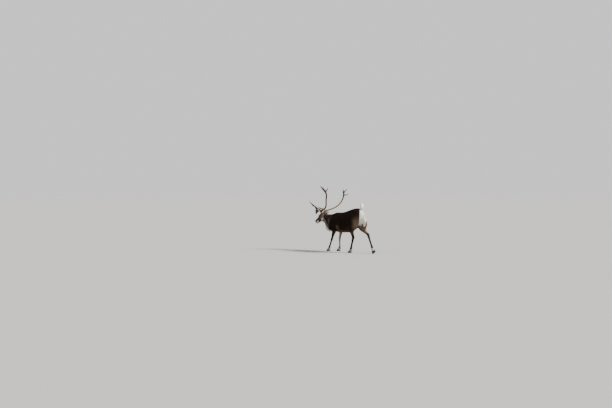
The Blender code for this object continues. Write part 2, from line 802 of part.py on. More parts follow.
# Hooves
def claw(kind, side, outer):
    """One half of a cloven hoof: a flat sole, a sloping toe and a top along the coronet."""
    away = side if outer else -side
    rings = []
    for rise in (0.0, 0.06, 0.45, 1.0):
        toe = -CLAW_TOE + 0.034 * rise
        heel = CLAW_HEEL - 0.006 * rise
        width = CLAW_WIDTH - 0.012 * rise
        middle_y = away * (CLAW_SPREAD - 0.0065 * rise)
        if rise == 0.0:
            toe += 0.002
            width -= 0.003
        ring = []
        for x, y in oval(1, 1, 1, 14, 2.5):
            spot_x = (toe + heel) / 2 + (heel - toe) / 2 * x
            inward = 0.010 * max(0.0, -x) ** 2
            spot_y = middle_y + width / 2 * y - away * inward
            top = CORONET_LEVEL - GAP - CORONET_FALL * spot_x
            ring.append((spot_x, spot_y, -CORONET_HEIGHT + (CORONET_HEIGHT + top) * rise))
        rings.append(ring)
    name = f"hoof_{kind}_{SIDE_NAMES[side]}_{'outer' if outer else 'inner'}"
    hoof = new_object(name, [moved(stacked(rings), foot_to_world(kind, side))])
    if (kind, side) == ("hind", RIGHT):
        carve(hoof, cell([((0, 0, 0), (0, 0, -1))]), "INTERSECT")
    return hoof


def dewclaws(kind, side):
    """Two small hooves at the back of the foot, pointing down."""
    frame = foot_to_world(kind, side)
    out = []
    for away in (LEFT, RIGHT):
        rows = [
            (0.006, 0.018 * away, 0.048, 0.014, 0.012),
            (0.030, 0.026 * away, 0.034, 0.015, 0.012),
            (0.050, 0.034 * away, 0.010, 0.011, 0.009),
        ]
        tip = (0.056, 0.037 * away, 0.034 - DEWCLAW_LENGTH)
        out.append(new_object("dewclaw", [moved(limb_shell(rows, 6, 1, tip), frame)]))
    return out


def leg_nodes(limb, kind, side):
    """A leg parted at the knee or hock and ended at the coronet, with its hooves."""
    name = f"{kind}leg_{SIDE_NAMES[side]}"
    lower = parted(limb, name + "_lower", joint_cut(kind, side))
    limb.name = name + "_upper"
    carve(lower, cell(coronet_cut(kind, side)), "INTERSECT")
    joined(lower, dewclaws(kind, side))
    return [limb, lower, claw(kind, side, True), claw(kind, side, False)]


# Head
def eye_centre(side):
    """The middle of an eyeball."""
    return head_to_world() @ mirrored(EYE_AT, side)


def eyeball(name, side, radius):
    """An eyeball, or the space it needs."""
    return new_object(name, [ball_shell(eye_centre(side), (radius,) * 3, sides=12)])


def eye_opening(side):
    """The almond between the lids, pointing out of the head."""
    out = mirrored(EYE_AXIS, side).normalized()
    middle = mirrored(EYE_AT, side) + out * (EYE_RADIUS + 0.006)
    turn = Vector((0, 1, 0)).rotation_difference(out).to_matrix().to_4x4()
    almond = ball_shell((0, 0, 0), (EYE_OPENING[0], 0.016, EYE_OPENING[1]), sides=12)
    frame = head_to_world() @ Matrix.Translation(middle) @ turn @ Matrix.Rotation(math.radians(-12), 4, "Y")
    return new_object("opening", [moved(almond, frame)])


def nostril(side):
    """A slanting hollow in the side of the muzzle."""
    frame = head_to_world() @ Matrix.Translation(mirrored(NOSTRIL_AT, side))
    frame = frame @ Matrix.Rotation(math.radians(-38 * side), 4, "Z")
    shell = ball_shell((0, 0, 0), (0.014, 0.0075, 0.009), 0.5, sides=10)
    return new_object("nostril", [moved(shell, frame)])


def mouth_line(head):
    """A thin groove round the muzzle from corner to corner, found on its surface."""
    frame = head_to_world()
    back = frame.inverted()
    tree = BVHTree.FromObject(head, bpy.context.evaluated_depsgraph_get())
    rows = []
    steps = 18
    for i in range(steps + 1):
        angle = MOUTH_CORNER_ANGLE * (2 * i / steps - 1)
        height = MOUTH_MIDDLE[1] - 0.006 * (1 - math.cos(angle)) + 0.003 * math.sin(angle) ** 2
        start = frame @ Vector((MOUTH_MIDDLE[0], 0, height))
        outward = frame.to_3x3() @ Vector((-math.cos(angle), math.sin(angle), 0))
        hit = tree.ray_cast(start, outward)[0]
        rows.append((back @ hit, MOUTH_GROOVE))
    rings = []
    for i, (spot, radius) in enumerate(rows):
        ahead = rows[min(i + 1, steps)][0] - rows[max(i - 1, 0)][0]
        outward = ahead.cross(Vector((0, 0, 1))).normalized()
        taper = 0.3 if i in (0, steps) else 1.0
        ring = []
        for a, b in ((1, 0), (0, 1), (-1, 0), (0, -1)):
            ring.append(spot + outward * (radius * 1.3 * taper * a) + Vector((0, 0, radius * taper * b)))
        rings.append(ring)
    return new_object("mouth", [moved(stacked(rings), frame)])


def bare_head():
    """The head from its own finer mesh, cut behind the jaw, before its finer features."""
    head = fused("head", head_shells() + [limb_shell(NECK[-4:], 28, 4)], HEAD_VOXEL)
    relax(head, 10, head_softness)
    carve(head, cell(head_cut()), "INTERSECT")
    thinned(head, HEAD_TRIANGLES)
    return carve(head, cell(head_cut(), -GAP), "INTERSECT")


def featured(head):
    """The head with lids, nostrils and the line of the mouth."""
    lids = [eyeball("lid", side, EYE_RADIUS + LID_THICKNESS) for side in (LEFT, RIGHT)]
    joined(head, lids)
    for side in (LEFT, RIGHT):
        carve(head, eye_opening(side), "DIFFERENCE")
        carve(head, eyeball("socket", side, EYE_RADIUS + GAP), "DIFFERENCE")
        carve(head, nostril(side), "DIFFERENCE")
    return carve(head, mouth_line(head), "DIFFERENCE")


# Ear outline: share of the length, half width, half depth, and the same for its hollow
EAR_OUTSIDE = (
    (-0.22, 0.018, 0.018),
    (0.00, 0.019, 0.018),
    (0.22, 0.028, 0.021),
    (0.50, 0.034, 0.020),
    (0.78, 0.026, 0.014),
    (0.94, 0.013, 0.009),
    (1.00, 0.004, 0.004),
)
EAR_HOLLOW = (
    (0.10, 0.006, 0.008),
    (0.25, 0.021, 0.021),
    (0.50, 0.028, 0.021),
    (0.78, 0.020, 0.015),
    (0.92, 0.007, 0.008),
)
EAR_HOLLOW_SHIFT = 0.010
EAR_BEND = 0.012


def leaf_ear(head, side):
    """A cupped ear laid back, its mouth turned out, cut clear of the head."""
    root = head_to_world() @ mirrored(EAR_AT, side)
    along = mirrored(EAR_AXIS, side).normalized()
    mouth = mirrored(EAR_MOUTH, side)
    mouth = (mouth - along * mouth.dot(along)).normalized()
    across = along.cross(mouth)

    def shell(rows, shift):
        rings = []
        for share, width, depth in smoothed_rows(rows, 2):
            middle = root + along * (share * EAR_LENGTH) + mouth * (shift - EAR_BEND * share * share)
            rings.append([middle + across * y + mouth * z for y, z in oval(width, depth, depth, 8)])
        return stacked(rings)

    ear = new_object("ear_" + SIDE_NAMES[side], [shell(EAR_OUTSIDE, 0.0)])
    carve(ear, new_object("hollow", [shell(EAR_HOLLOW, EAR_HOLLOW_SHIFT)]), "DIFFERENCE")
    return carve(ear, grown(head), "DIFFERENCE")


# Antlers: beams and tines through (x, y, z, thickness in the plane of the tines, thickness across)
BEAMS = {
    LEFT: (
        (-1.050, 0.052, 1.098, 0.012, 0.012),
        (-1.040, 0.060, 1.130, 0.027, 0.027),
        (-1.035, 0.065, 1.142, BURR_RADIUS, BURR_RADIUS),
        (-1.024, 0.075, 1.157, 0.024, 0.024),
        (-0.945, 0.115, 1.198, 0.0215, 0.021),
        (-0.840, 0.150, 1.232, 0.020, 0.020),
        (-0.735, 0.180, 1.268, 0.0205, 0.0205),
        (-0.654, 0.225, 1.354, 0.0205, 0.020),
        (-0.574, 0.300, 1.503, 0.020, 0.020),
        (-0.500, 0.355, 1.645, 0.021, 0.020),
        (-0.512, 0.378, 1.735, 0.030, 0.017),
        (-0.570, 0.378, 1.785, 0.032, 0.013),
        (-0.640, 0.375, 1.832, 0.024, 0.011),
        (-0.720, 0.368, 1.888, 0.014, 0.009),
    ),
    RIGHT: (
        (-1.050, 0.052, 1.098, 0.012, 0.012),
        (-1.040, 0.060, 1.130, 0.027, 0.027),
        (-1.035, 0.065, 1.142, BURR_RADIUS, BURR_RADIUS),
        (-1.024, 0.075, 1.157, 0.024, 0.024),
        (-0.957, 0.115, 1.190, 0.0215, 0.021),
        (-0.868, 0.180, 1.225, 0.020, 0.020),
        (-0.769, 0.250, 1.276, 0.019, 0.0195),
        (-0.690, 0.305, 1.340, 0.0185, 0.019),
        (-0.615, 0.355, 1.439, 0.018, 0.019),
        (-0.571, 0.390, 1.558, 0.018, 0.018),
        (-0.548, 0.398, 1.650, 0.024, 0.016),
        (-0.550, 0.392, 1.720, 0.026, 0.013),
        (-0.562, 0.386, 1.785, 0.015, 0.010),
    ),
}
BEAM_TIPS = {LEFT: (-0.783, 0.360, 1.944), RIGHT: (-0.572, 0.380, 1.850)}
BEAM_CUTS = {LEFT: (-0.654, 0.225, 1.354), RIGHT: (-0.690, 0.305, 1.340)}

# Each tine: its rows, then its tip. The first row lies inside what it grows from.
TINES = {
    "antler_left_brow": (
        (
            (-1.030, 0.066, 1.152, 0.018, 0.015),
            (-1.100, 0.052, 1.166, 0.016, 0.013),
            (-1.170, 0.040, 1.168, 0.022, 0.009),
            (-1.228, 0.032, 1.168, 0.050, 0.009),
            (-1.280, 0.030, 1.170, 0.080, 0.008),
            (-1.308, 0.030, 1.174, 0.084, 0.006),
        ),
        (-1.326, 0.030, 1.180),
    ),
    "antler_left_bez": (
        (
            (-0.985, 0.096, 1.178, 0.017, 0.016),
            (-1.075, 0.130, 1.232, 0.0155, 0.014),
            (-1.180, 0.165, 1.296, 0.018, 0.011),
            (-1.270, 0.190, 1.352, 0.020, 0.009),
            (-1.350, 0.206, 1.415, 0.012, 0.008),
        ),
        (-1.430, 0.220, 1.508),
    ),
    "antler_left_crown": (
        (
            (-0.520, 0.376, 1.735, 0.018, 0.013),
            (-0.468, 0.376, 1.790, 0.017, 0.011),
            (-0.436, 0.370, 1.830, 0.012, 0.009),
        ),
        (-0.418, 0.365, 1.876),
    ),
    "antler_right_brow": (
        (
            (-1.030, 0.066, 1.152, 0.017, 0.015),
            (-1.095, 0.062, 1.172, 0.014, 0.012),
            (-1.165, 0.064, 1.182, 0.012, 0.010),
        ),
        (-1.262, 0.070, 1.206),
    ),
    "antler_right_bez": (
        (
            (-0.985, 0.096, 1.178, 0.017, 0.016),
            (-1.080, 0.116, 1.206, 0.0155, 0.014),
            (-1.190, 0.128, 1.232, 0.018, 0.011),
            (-1.290, 0.124, 1.252, 0.018, 0.009),
        ),
        (-1.398, 0.104, 1.296),
    ),
    "antler_right_crown": (
        (
            (-0.549, 0.392, 1.700, 0.018, 0.013),
            (-0.490, 0.390, 1.760, 0.016, 0.011),
            (-0.425, 0.384, 1.800, 0.010, 0.008),
        ),
        (-0.388, 0.380, 1.842),
    ),
    "antler_right_back_tine": (
        (
            (-0.556, 0.398, 1.640, 0.017, 0.013),
            (-0.470, 0.394, 1.650, 0.013, 0.010),
            (-0.380, 0.386, 1.656, 0.010, 0.008),
        ),
        (-0.288, 0.380, 1.668),
    ),
}

# Short points that grow on a tine or a beam: rows, then a tip
POINTS = {
    "antler_left_brow": (
        (((-1.280, 0.030, 1.225, 0.024, 0.006), (-1.325, 0.031, 1.262, 0.015, 0.006)), (-1.402, 0.032, 1.338)),
        (((-1.290, 0.030, 1.180, 0.018, 0.006), (-1.325, 0.030, 1.190, 0.012, 0.005)), (-1.368, 0.030, 1.204)),
        (((-1.280, 0.030, 1.130, 0.018, 0.006), (-1.310, 0.030, 1.118, 0.012, 0.005)), (-1.345, 0.030, 1.106)),
        (((-1.260, 0.030, 1.110, 0.018, 0.006), (-1.272, 0.030, 1.082, 0.012, 0.005)), (-1.288, 0.030, 1.045)),
    ),
    "antler_left_bez": (
        (((-1.225, 0.178, 1.325, 0.014, 0.008), (-1.275, 0.186, 1.322, 0.010, 0.007)), (-1.335, 0.196, 1.312)),
    ),
    "antler_right_bez": (
        (((-1.240, 0.126, 1.238, 0.014, 0.008), (-1.290, 0.124, 1.226, 0.010, 0.007)), (-1.345, 0.120, 1.200)),
    ),
    "antler_left_beam_upper": (
        (((-0.600, 0.377, 1.805, 0.016, 0.010), (-0.612, 0.376, 1.856, 0.010, 0.008)), (-0.628, 0.374, 1.912)),
    ),
}


def antler_tube(name, rows, tip, side, sides=6, steps=2):
    """A rounded antler length that tapers to a tip."""
    placed = [(x, y * side, z, thick, across) for x, y, z, thick, across in rows]
    return new_object(name, [limb_shell(placed, sides, steps, mirrored(tip, side))])


def antler_nodes(head, side):
    """One antler, split along its beam and at its forks, each face 0.3 mm from the next."""
    stem = "antler_" + SIDE_NAMES[side]
    upper_name = stem + "_beam_upper"
    beam = antler_tube(stem + "_beam_lower", BEAMS[side], BEAM_TIPS[side], side, 8)
    carve(beam, grown(head), "DIFFERENCE")
    joined(beam, [antler_tube("point", a, b, side, 5, 1) for a, b in POINTS.get(upper_name, ())])
    nodes = []
    for name, (rows, tip) in TINES.items():
        if not name.startswith(stem):
            continue
        tine = antler_tube(name, rows, tip, side)
        joined(tine, [antler_tube("point", a, b, side, 5, 1) for a, b in POINTS.get(name, ())])
        nodes.append(carve(tine, grown(beam), "DIFFERENCE"))
    place = mirrored(BEAM_CUTS[side], side)
    upper = parted(beam, upper_name, [(place, (-0.55, -0.25 * side, -0.80))])
    return [beam, upper, *nodes]


# Colours as sRGB, with roughness
COAT = ("coat", (0.150, 0.110, 0.095), 0.85)
PALE_COAT = ("pale_coat", (0.930, 0.910, 0.870), 0.85)
NECK_COAT = ("neck_coat", (0.520, 0.470, 0.430), 0.85)
HEAD_COAT = ("head_coat", (0.300, 0.235, 0.200), 0.80)
ANTLER_BONE = ("antler_bone", (0.330, 0.225, 0.180), 0.55)
HOOF_HORN = ("hoof_horn", (0.090, 0.080, 0.075), 0.45)
EYE_DARK = ("eye", (0.030, 0.020, 0.016), 0.08)


def finish_of(name):
    """The colour that a node wears."""
    if name.startswith("antler"):
        return ANTLER_BONE
    if name.startswith("hoof"):
        return HOOF_HORN
    if name.startswith("eye"):
        return EYE_DARK
    return {"tail": PALE_COAT, "neck": NECK_COAT, "head": HEAD_COAT}.get(name, COAT)


def linear(value):
    """One sRGB channel as linear light."""
    return value / 12.92 if value <= 0.04045 else ((value + 0.055) / 1.055) ** 2.4


def coloured(obj):
    """Gives the node its own material and smooth shading."""
    label, colour, roughness = finish_of(obj.name)
    material = bpy.data.materials.new(f"{obj.name}_{label}")
    material.use_nodes = True
    shader = material.node_tree.nodes["Principled BSDF"]
    shader.inputs["Base Color"].default_value = (*[linear(c) for c in colour], 1.0)
    shader.inputs["Roughness"].default_value = roughness
    obj.data.materials.clear()
    obj.data.materials.append(material)
    obj.data.shade_smooth()
    obj.data.set_sharp_from_angle(angle=math.radians(40))


def centred(nodes):
    """Moves the animal so that the middle of its bounding box stands over the origin."""
    spots = np.array([v.co for obj in nodes for v in obj.data.vertices])
    middle = (spots.min(axis=0) + spots.max(axis=0)) / 2
    for obj in nodes:
        obj.data.transform(Matrix.Translation((-middle[0], -middle[1], 0)))


def main():
    for obj in list(bpy.data.objects):
        bpy.data.objects.remove(obj)
    skull = bare_head()
    torso = fused_body()
    bpy.data.objects.remove(parted(torso, "rough_head", head_cut()))
    neck = parted(torso, "neck", NECK_CUT)
    tail = parted(torso, "tail", TAIL_CUT)
    nodes = [neck, torso, tail]
    for kind, side in LEGS:
        cut = fore_cut(side) if kind == "fore" else hind_cut(side)
        nodes += leg_nodes(parted(torso, "limb", cut), kind, side)
    torso.name = "torso"
    shoulders = [obj for obj in nodes if obj.name.startswith("foreleg") and obj.name.endswith("upper")]
    maned(neck, [skull, torso, *shoulders])
    joined(tail, tail_locks(random.Random(3)))
    carve(tail, grown(torso), "DIFFERENCE")
    for side in (LEFT, RIGHT):
        nodes.append(eyeball("eye_" + SIDE_NAMES[side], side, EYE_RADIUS))
        nodes.append(leaf_ear(skull, side))
        nodes += antler_nodes(skull, side)
    nodes.append(featured(skull))
    skull.name = "head"
    centred(nodes)
    for obj in nodes:
        coloured(obj)


main()
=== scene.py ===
import math
from contextlib import contextmanager

import bmesh
import bpy
import numpy as np
from mathutils import Matrix, Vector
from mathutils.bvhtree import BVHTree


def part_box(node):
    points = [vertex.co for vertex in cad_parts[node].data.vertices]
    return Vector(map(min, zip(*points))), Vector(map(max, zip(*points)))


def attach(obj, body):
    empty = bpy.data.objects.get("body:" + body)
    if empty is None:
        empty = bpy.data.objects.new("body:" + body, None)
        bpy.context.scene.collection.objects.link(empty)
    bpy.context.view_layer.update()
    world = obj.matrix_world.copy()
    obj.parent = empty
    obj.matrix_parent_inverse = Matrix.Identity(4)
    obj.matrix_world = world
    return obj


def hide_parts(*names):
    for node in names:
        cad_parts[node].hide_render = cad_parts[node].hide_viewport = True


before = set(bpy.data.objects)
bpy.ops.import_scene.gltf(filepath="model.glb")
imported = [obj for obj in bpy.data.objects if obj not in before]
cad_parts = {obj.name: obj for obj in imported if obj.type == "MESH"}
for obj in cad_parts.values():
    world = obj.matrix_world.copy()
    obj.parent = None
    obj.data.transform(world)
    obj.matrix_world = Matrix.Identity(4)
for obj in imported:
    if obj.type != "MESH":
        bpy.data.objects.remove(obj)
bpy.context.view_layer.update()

# The reindeer looks towards -X with its right side towards +Y. Sizes are metres.
LEFT = -1
RIGHT = 1
SIDES = (LEFT, RIGHT)
SIDE_NAMES = {LEFT: "left", RIGHT: "right"}
WITHERS_Z = 1.145
CROUP_Z = 1.277
BELLY_Z = 0.565
CHEST_X = -0.63
BUTTOCK_X = 0.632
BELLY_HALF_WIDTH = 0.232
FOOT_Y = 0.115

# Head frame: X runs back from the nose, Z is up across the brow
NOSE = Vector((-1.315, 0.0, 0.832))
HEAD_PITCH = math.radians(34)
HEAD_LENGTH = 0.435
BROW_HEIGHT = 0.096
JAW_DEPTH = 0.116
MUZZLE_HALF_WIDTH = 0.051
CHEEK_HALF_WIDTH = 0.079
EYE_AT = (0.270, 0.0665, 0.046)
EYE_RADIUS = 0.0185
LID_RADIUS = EYE_RADIUS + 0.0028
EYE_AXIS = (-0.30, 0.92, 0.12)
EYE_OPENING = (0.0160, 0.0098)
NOSTRIL_AT = (0.016, 0.031, 0.020)
MOUTH_MIDDLE = (0.082, -0.036)
MOUTH_CORNER_ANGLE = math.radians(104)
EAR_AT = (0.396, 0.060, 0.050)
EAR_LENGTH = 0.140
EAR_AXIS = (0.74, 0.58, 0.30)
EAR_MOUTH = (-0.22, 0.90, -0.20)
PEDICLE_AT = (0.385, 0.048, 0.084)
BURR_AT = (-1.035, 0.065, 1.140)
BURR_RADIUS = 0.032

# Hooves, in the foot's frame: its origin is in the middle of the coronet
CORONET_HEIGHT = 0.056
CORONET_LEVEL = -0.004
CORONET_FALL = 0.42
CLAW_TOE = 0.070
CLAW_HEEL = 0.046
CLAW_WIDTH = 0.051
CLAW_SPREAD = 0.0285
TRAILING_HOOF_TILT = math.radians(58)
TRAILING_CORONET_Z = 0.0830

# Mesh size of each form, and the width under which a sliver of skin is closed
SKIN_VOXEL = 0.0098
HEAD_VOXEL = 0.0030
EAR_VOXEL = 0.0030
ANTLER_VOXEL = 0.0032
SLIVER = 0.00005
rng = np.random.default_rng(11)

# Stands for a distance beyond all that matters, in metres or in almonds
FAR = 9.0


def head_to_body():
    """The head's frame in the body's: its X axis climbs from the nose to the poll."""
    return Matrix.Translation(NOSE) @ Matrix.Rotation(-HEAD_PITCH, 4, "Y")


def mirrored(spot, side):
    """A place given for the right side, on the wanted side."""
    return Vector((spot[0], spot[1] * side, spot[2]))


# The design stands where its own eye is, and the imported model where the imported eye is
eye_low, eye_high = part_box("eye_left")
TO_FRAME = Matrix.Translation((eye_low + eye_high) / 2 - head_to_body() @ mirrored(EYE_AT, LEFT))


# Lofted forms
def smoothed_rows(rows, steps):
    """Rows of numbers with smooth steps between each two."""
    rows = np.array(rows, float)
    ends = np.vstack([2 * rows[0] - rows[1], rows, 2 * rows[-1] - rows[-2]])
    out = []
    for i in range(len(rows) - 1):
        a, b, c, d = ends[i : i + 4]
        for k in range(steps):
            t = k / steps
            square = (2 * a - 5 * b + 4 * c - d) * t * t
            cube = (3 * b - a - 3 * c + d) * t**3
            out.append(0.5 * (2 * b + (c - a) * t + square + cube))
    out.append(rows[-1])
    return np.array(out)


def stacked(rings, tip=None):
    """A closed surface through rings of equal point counts, ended by a tip or a cap."""
    count = len(rings[0])
    points = [tuple(p) for ring in rings for p in ring]
    faces = []
    for i in range(len(rings) - 1):
        for k in range(count):
            n = (k + 1) % count
            a, b = i * count, (i + 1) * count
            faces.append((a + k, a + n, b + n, b + k))
    last = (len(rings) - 1) * count
    points.append(tuple(np.mean(np.array(rings[0]), axis=0)))
    points.append(tuple(np.mean(np.array(rings[-1]), axis=0)) if tip is None else tuple(tip))
    for k in range(count):
        n = (k + 1) % count
        faces.append((len(points) - 2, n, k))
        faces.append((len(points) - 1, last + k, last + n))
    return points, faces


def turns(count):
    """Even angles round a full turn."""
    return [2 * math.pi * k / count for k in range(count)]


def oval(width, up, down, sides, power=2.0):
    """Points (across, height) of an oval with its own height above and below."""
    out = []
    for a in turns(sides):
        c, s = math.cos(a), math.sin(a)
        across = width * math.copysign(abs(c) ** (2 / power), c)
        height = (up if s > 0 else down) * math.copysign(abs(s) ** (2 / power), s)
        out.append((across, height))
    return out


def trunk_shell(rows, sides, steps, power):
    """A form lofted along X from (x, top, bottom, half width, height of the widest line)."""
    rings = []
    for x, top, bottom, width, level in smoothed_rows(rows, steps):
        middle = bottom + (top - bottom) * level
        outline = oval(max(width, 0.004), top - middle, middle - bottom, sides, power)
        rings.append([(x, y, middle + z) for y, z in outline])
    return stacked(rings)


def limb_shell(rows, sides, steps, tip=None):
    """A tube through (x, y, z, fore and aft radius, sideways radius), square to its path."""
    path = smoothed_rows(rows, steps)
    along = np.gradient(path[:, :3], axis=0)
    rings = []
    for row, direction in zip(path, along):
        middle = Vector(row[:3])
        direction = Vector(direction).normalized()
        fore_axis = Vector((0, 1, 0)).cross(direction).normalized()
        side_axis = direction.cross(fore_axis)
        ring = []
        for a in turns(sides):
            ring.append(middle + side_axis * (row[4] * math.cos(a)) + fore_axis * (row[3] * math.sin(a)))
        rings.append(ring)
    return stacked(rings, tip)


def ball_shell(centre, radii, tilt=0.0, sides=20):
    """An ellipsoid, tilted about Y, with its poles up and down."""
    turn = Matrix.Rotation(tilt, 3, "Y")
    rings = []
    levels = sides // 2
    for i in range(1, levels):
        lat = math.pi * i / levels - math.pi / 2
        flat = math.cos(lat)
        height = radii[2] * math.sin(lat)
        ring = []
        for a in turns(sides):
            spot = Vector((radii[0] * flat * math.cos(a), radii[1] * flat * math.sin(a), height))
            ring.append(Vector(centre) + turn @ spot)
        rings.append(ring)
    points, faces = stacked(rings)
    points[-2] = tuple(Vector(centre) + turn @ Vector((0, 0, -radii[2])))
    points[-1] = tuple(Vector(centre) + turn @ Vector((0, 0, radii[2])))
    return points, faces


def moved(shell, matrix):
    """The same shell under a matrix."""
    points, faces = shell
    return [tuple(matrix @ Vector(p)) for p in points], faces


# Torso: place along X, back, belly, half width, level of the widest line
TORSO = (
    (CHEST_X, 0.95, 0.70, 0.075, 0.5),
    (CHEST_X + 0.06, 1.06, 0.630, 0.140, 0.5),
    (-0.45, WITHERS_Z - 0.010, BELLY_Z + 0.020, 0.186, 0.47),
    (-0.30, WITHERS_Z, BELLY_Z + 0.002, 0.212, 0.46),
    (-0.12, WITHERS_Z + 0.010, BELLY_Z, 0.228, 0.46),
    (0.06, WITHERS_Z + 0.055, BELLY_Z + 0.012, BELLY_HALF_WIDTH, 0.47),
    (0.22, CROUP_Z - 0.030, BELLY_Z + 0.06, 0.222, 0.51),
    (0.36, CROUP_Z, BELLY_Z + 0.14, 0.202, 0.56),
    (0.48, CROUP_Z - 0.004, BELLY_Z + 0.24, 0.168, 0.58),
    (0.57, CROUP_Z - 0.050, BELLY_Z + 0.33, 0.125, 0.58),
    (BUTTOCK_X, CROUP_Z - 0.150, BELLY_Z + 0.43, 0.062, 0.52),
)

# Neck, from the shoulders to behind the jaw: place, half depth and half width
NECK = (
    (-0.38, 0.0, 0.880, 0.245, 0.175),
    (-0.52, 0.0, 0.876, 0.232, 0.165),
    (-0.65, 0.0, 0.892, 0.205, 0.142),
    (-0.78, 0.0, 0.920, 0.170, 0.120),
    (-0.89, 0.0, 0.952, 0.146, 0.104),
    (-1.00, 0.0, 0.970, 0.122, 0.088),
    (-1.06, 0.0, 0.985, 0.088, 0.066),
)

# Mane under the neck: place, underside of the flesh, lowest tips of the hair, half width of the hair
MANE = (
    (-0.50, 0.660, 0.605, 0.090),
    (-0.62, 0.690, 0.572, 0.105),
    (-0.71, 0.720, 0.566, 0.102),
    (-0.80, 0.755, 0.588, 0.092),
    (-0.90, 0.805, 0.715, 0.082),
    (-0.98, 0.850, 0.805, 0.066),
    (-1.04, 0.880, 0.862, 0.045),
)

# How far the dense core of the mane reaches from the flesh to the tips, and how deep it starts
MANE_CORE_SHARE = 0.30
MANE_ROOT_DEPTH = 0.12

# Head: place back from the nose, top, bottom, half width, level of the widest line
HEAD = (
    (0.000, 0.030, -0.024, 0.028, 0.5),
    (0.010, 0.048, -0.046, MUZZLE_HALF_WIDTH - 0.008, 0.5),
    (0.030, 0.059, -0.060, MUZZLE_HALF_WIDTH, 0.52),
    (0.070, 0.063, -0.066, MUZZLE_HALF_WIDTH + 0.001, 0.52),
    (0.120, 0.067, -0.070, MUZZLE_HALF_WIDTH - 0.002, 0.52),
    (0.180, 0.075, -0.078, 0.054, 0.53),
    (0.235, 0.088, -0.092, 0.067, 0.56),
    (0.285, BROW_HEIGHT, -0.107, CHEEK_HALF_WIDTH, 0.60),
    (0.340, BROW_HEIGHT + 0.004, -JAW_DEPTH, CHEEK_HALF_WIDTH + 0.001, 0.58),
    (0.385, BROW_HEIGHT - 0.006, -JAW_DEPTH + 0.004, 0.074, 0.55),
    (HEAD_LENGTH, 0.064, -0.078, 0.054, 0.5),
)

# Lower jaw: place back from the nose, height, half depth, half width
JAW = (
    (0.035, -0.050, 0.018, 0.026),
    (0.120, -0.060, 0.022, 0.032),
    (0.220, -0.078, 0.028, 0.040),
    (0.310, -0.090, 0.034, 0.046),
    (0.372, -0.078, 0.036, 0.044),
)

# Legs, each row: between which joints and how far along, fore and aft radius, sideways radius
FORE_PROFILE = (
    (("shoulder", "elbow", 0.0), 0.106, 0.072),
    (("shoulder", "elbow", 0.6), 0.104, 0.068),
    (("elbow", "knee", 0.04), 0.084, 0.058),
    (("elbow", "knee", 0.28), 0.062, 0.047),
    (("elbow", "knee", 0.58), 0.042, 0.036),
    (("elbow", "knee", 0.84), 0.034, 0.031),
    (("elbow", "knee", 1.0), 0.037, 0.034),
    (("knee", "fetlock", 0.16), 0.030, 0.028),
    (("knee", "fetlock", 0.45), 0.0265, 0.024),
    (("knee", "fetlock", 0.78), 0.0275, 0.025),
    (("knee", "fetlock", 1.0), 0.034, 0.031),
    (("fetlock", "coronet", 0.55), 0.031, 0.033),
    (("fetlock", "coronet", 1.0), 0.036, 0.043),
    (("fetlock", "coronet", 1.3), 0.036, 0.043),
)
HIND_PROFILE = (
    (("hip", "stifle", 0.0), 0.150, 0.085),
    (("hip", "stifle", 0.45), 0.145, 0.090),
    (("hip", "stifle", 0.9), 0.112, 0.080),
    (("stifle", "hock", 0.25), 0.084, 0.063),
    (("stifle", "hock", 0.55), 0.058, 0.047),
    (("stifle", "hock", 0.82), 0.043, 0.036),
    (("stifle", "hock", 1.0), 0.046, 0.037),
    (("hock", "fetlock", 0.14), 0.038, 0.032),
    (("hock", "fetlock", 0.45), 0.0305, 0.027),
    (("hock", "fetlock", 0.80), 0.0305, 0.0275),
    (("hock", "fetlock", 1.0), 0.035, 0.032),
    (("fetlock", "coronet", 0.55), 0.031, 0.033),
    (("fetlock", "coronet", 1.0), 0.036, 0.043),
    (("fetlock", "coronet", 1.3), 0.036, 0.043),
)

# Joints of each leg, with Y as for the right side
LEGS = {
    ("fore", LEFT): {
        "shoulder": (-0.490, 0.120, 0.850),
        "elbow": (-0.375, 0.145, 0.670),
        "knee": (-0.502, 0.135, 0.362),
        "fetlock": (-0.620, 0.120, 0.114),
        "coronet": (-0.668, FOOT_Y, CORONET_HEIGHT),
    },
    ("fore", RIGHT): {
        "shoulder": (-0.490, 0.120, 0.850),
        "elbow": (-0.385, 0.145, 0.670),
        "knee": (-0.450, 0.135, 0.372),
        "fetlock": (-0.432, 0.120, 0.120),
        "coronet": (-0.470, FOOT_Y, CORONET_HEIGHT),
    },
    ("hind", LEFT): {
        "hip": (0.415, 0.105, 1.010),
        "stifle": (0.270, 0.150, 0.745),
        "hock": (0.375, 0.135, 0.450),
        "fetlock": (0.268, 0.120, 0.124),
        "coronet": (0.221, FOOT_Y, CORONET_HEIGHT),
    },
    ("hind", RIGHT): {
        "hip": (0.415, 0.105, 1.010),
        "stifle": (0.415, 0.150, 0.730),
        "hock": (0.700, 0.135, 0.530),
        "fetlock": (0.866, 0.120, 0.190),
        "coronet": (0.906, FOOT_Y, TRAILING_CORONET_Z),
    },
}

# Tail, raised: its core under the hair
TAIL = (
    (0.510, 0.0, 1.225, 0.040, 0.045),
    (0.562, 0.0, 1.262, 0.027, 0.033),
    (0.580, 0.0, 1.305, 0.021, 0.027),
    (0.582, 0.0, 1.345, 0.013, 0.018),
)


def leg_path(kind, side):
    """The path of one leg, from its upper joint to just under the coronet of the hoof."""
    joints = LEGS[kind, side]
    rows = []
    for (a, b, share), fore, wide in FORE_PROFILE if kind == "fore" else HIND_PROFILE:
        spot = Vector(joints[a]).lerp(Vector(joints[b]), share)
        rows.append((*mirrored(spot, side), fore, wide))
    return rows


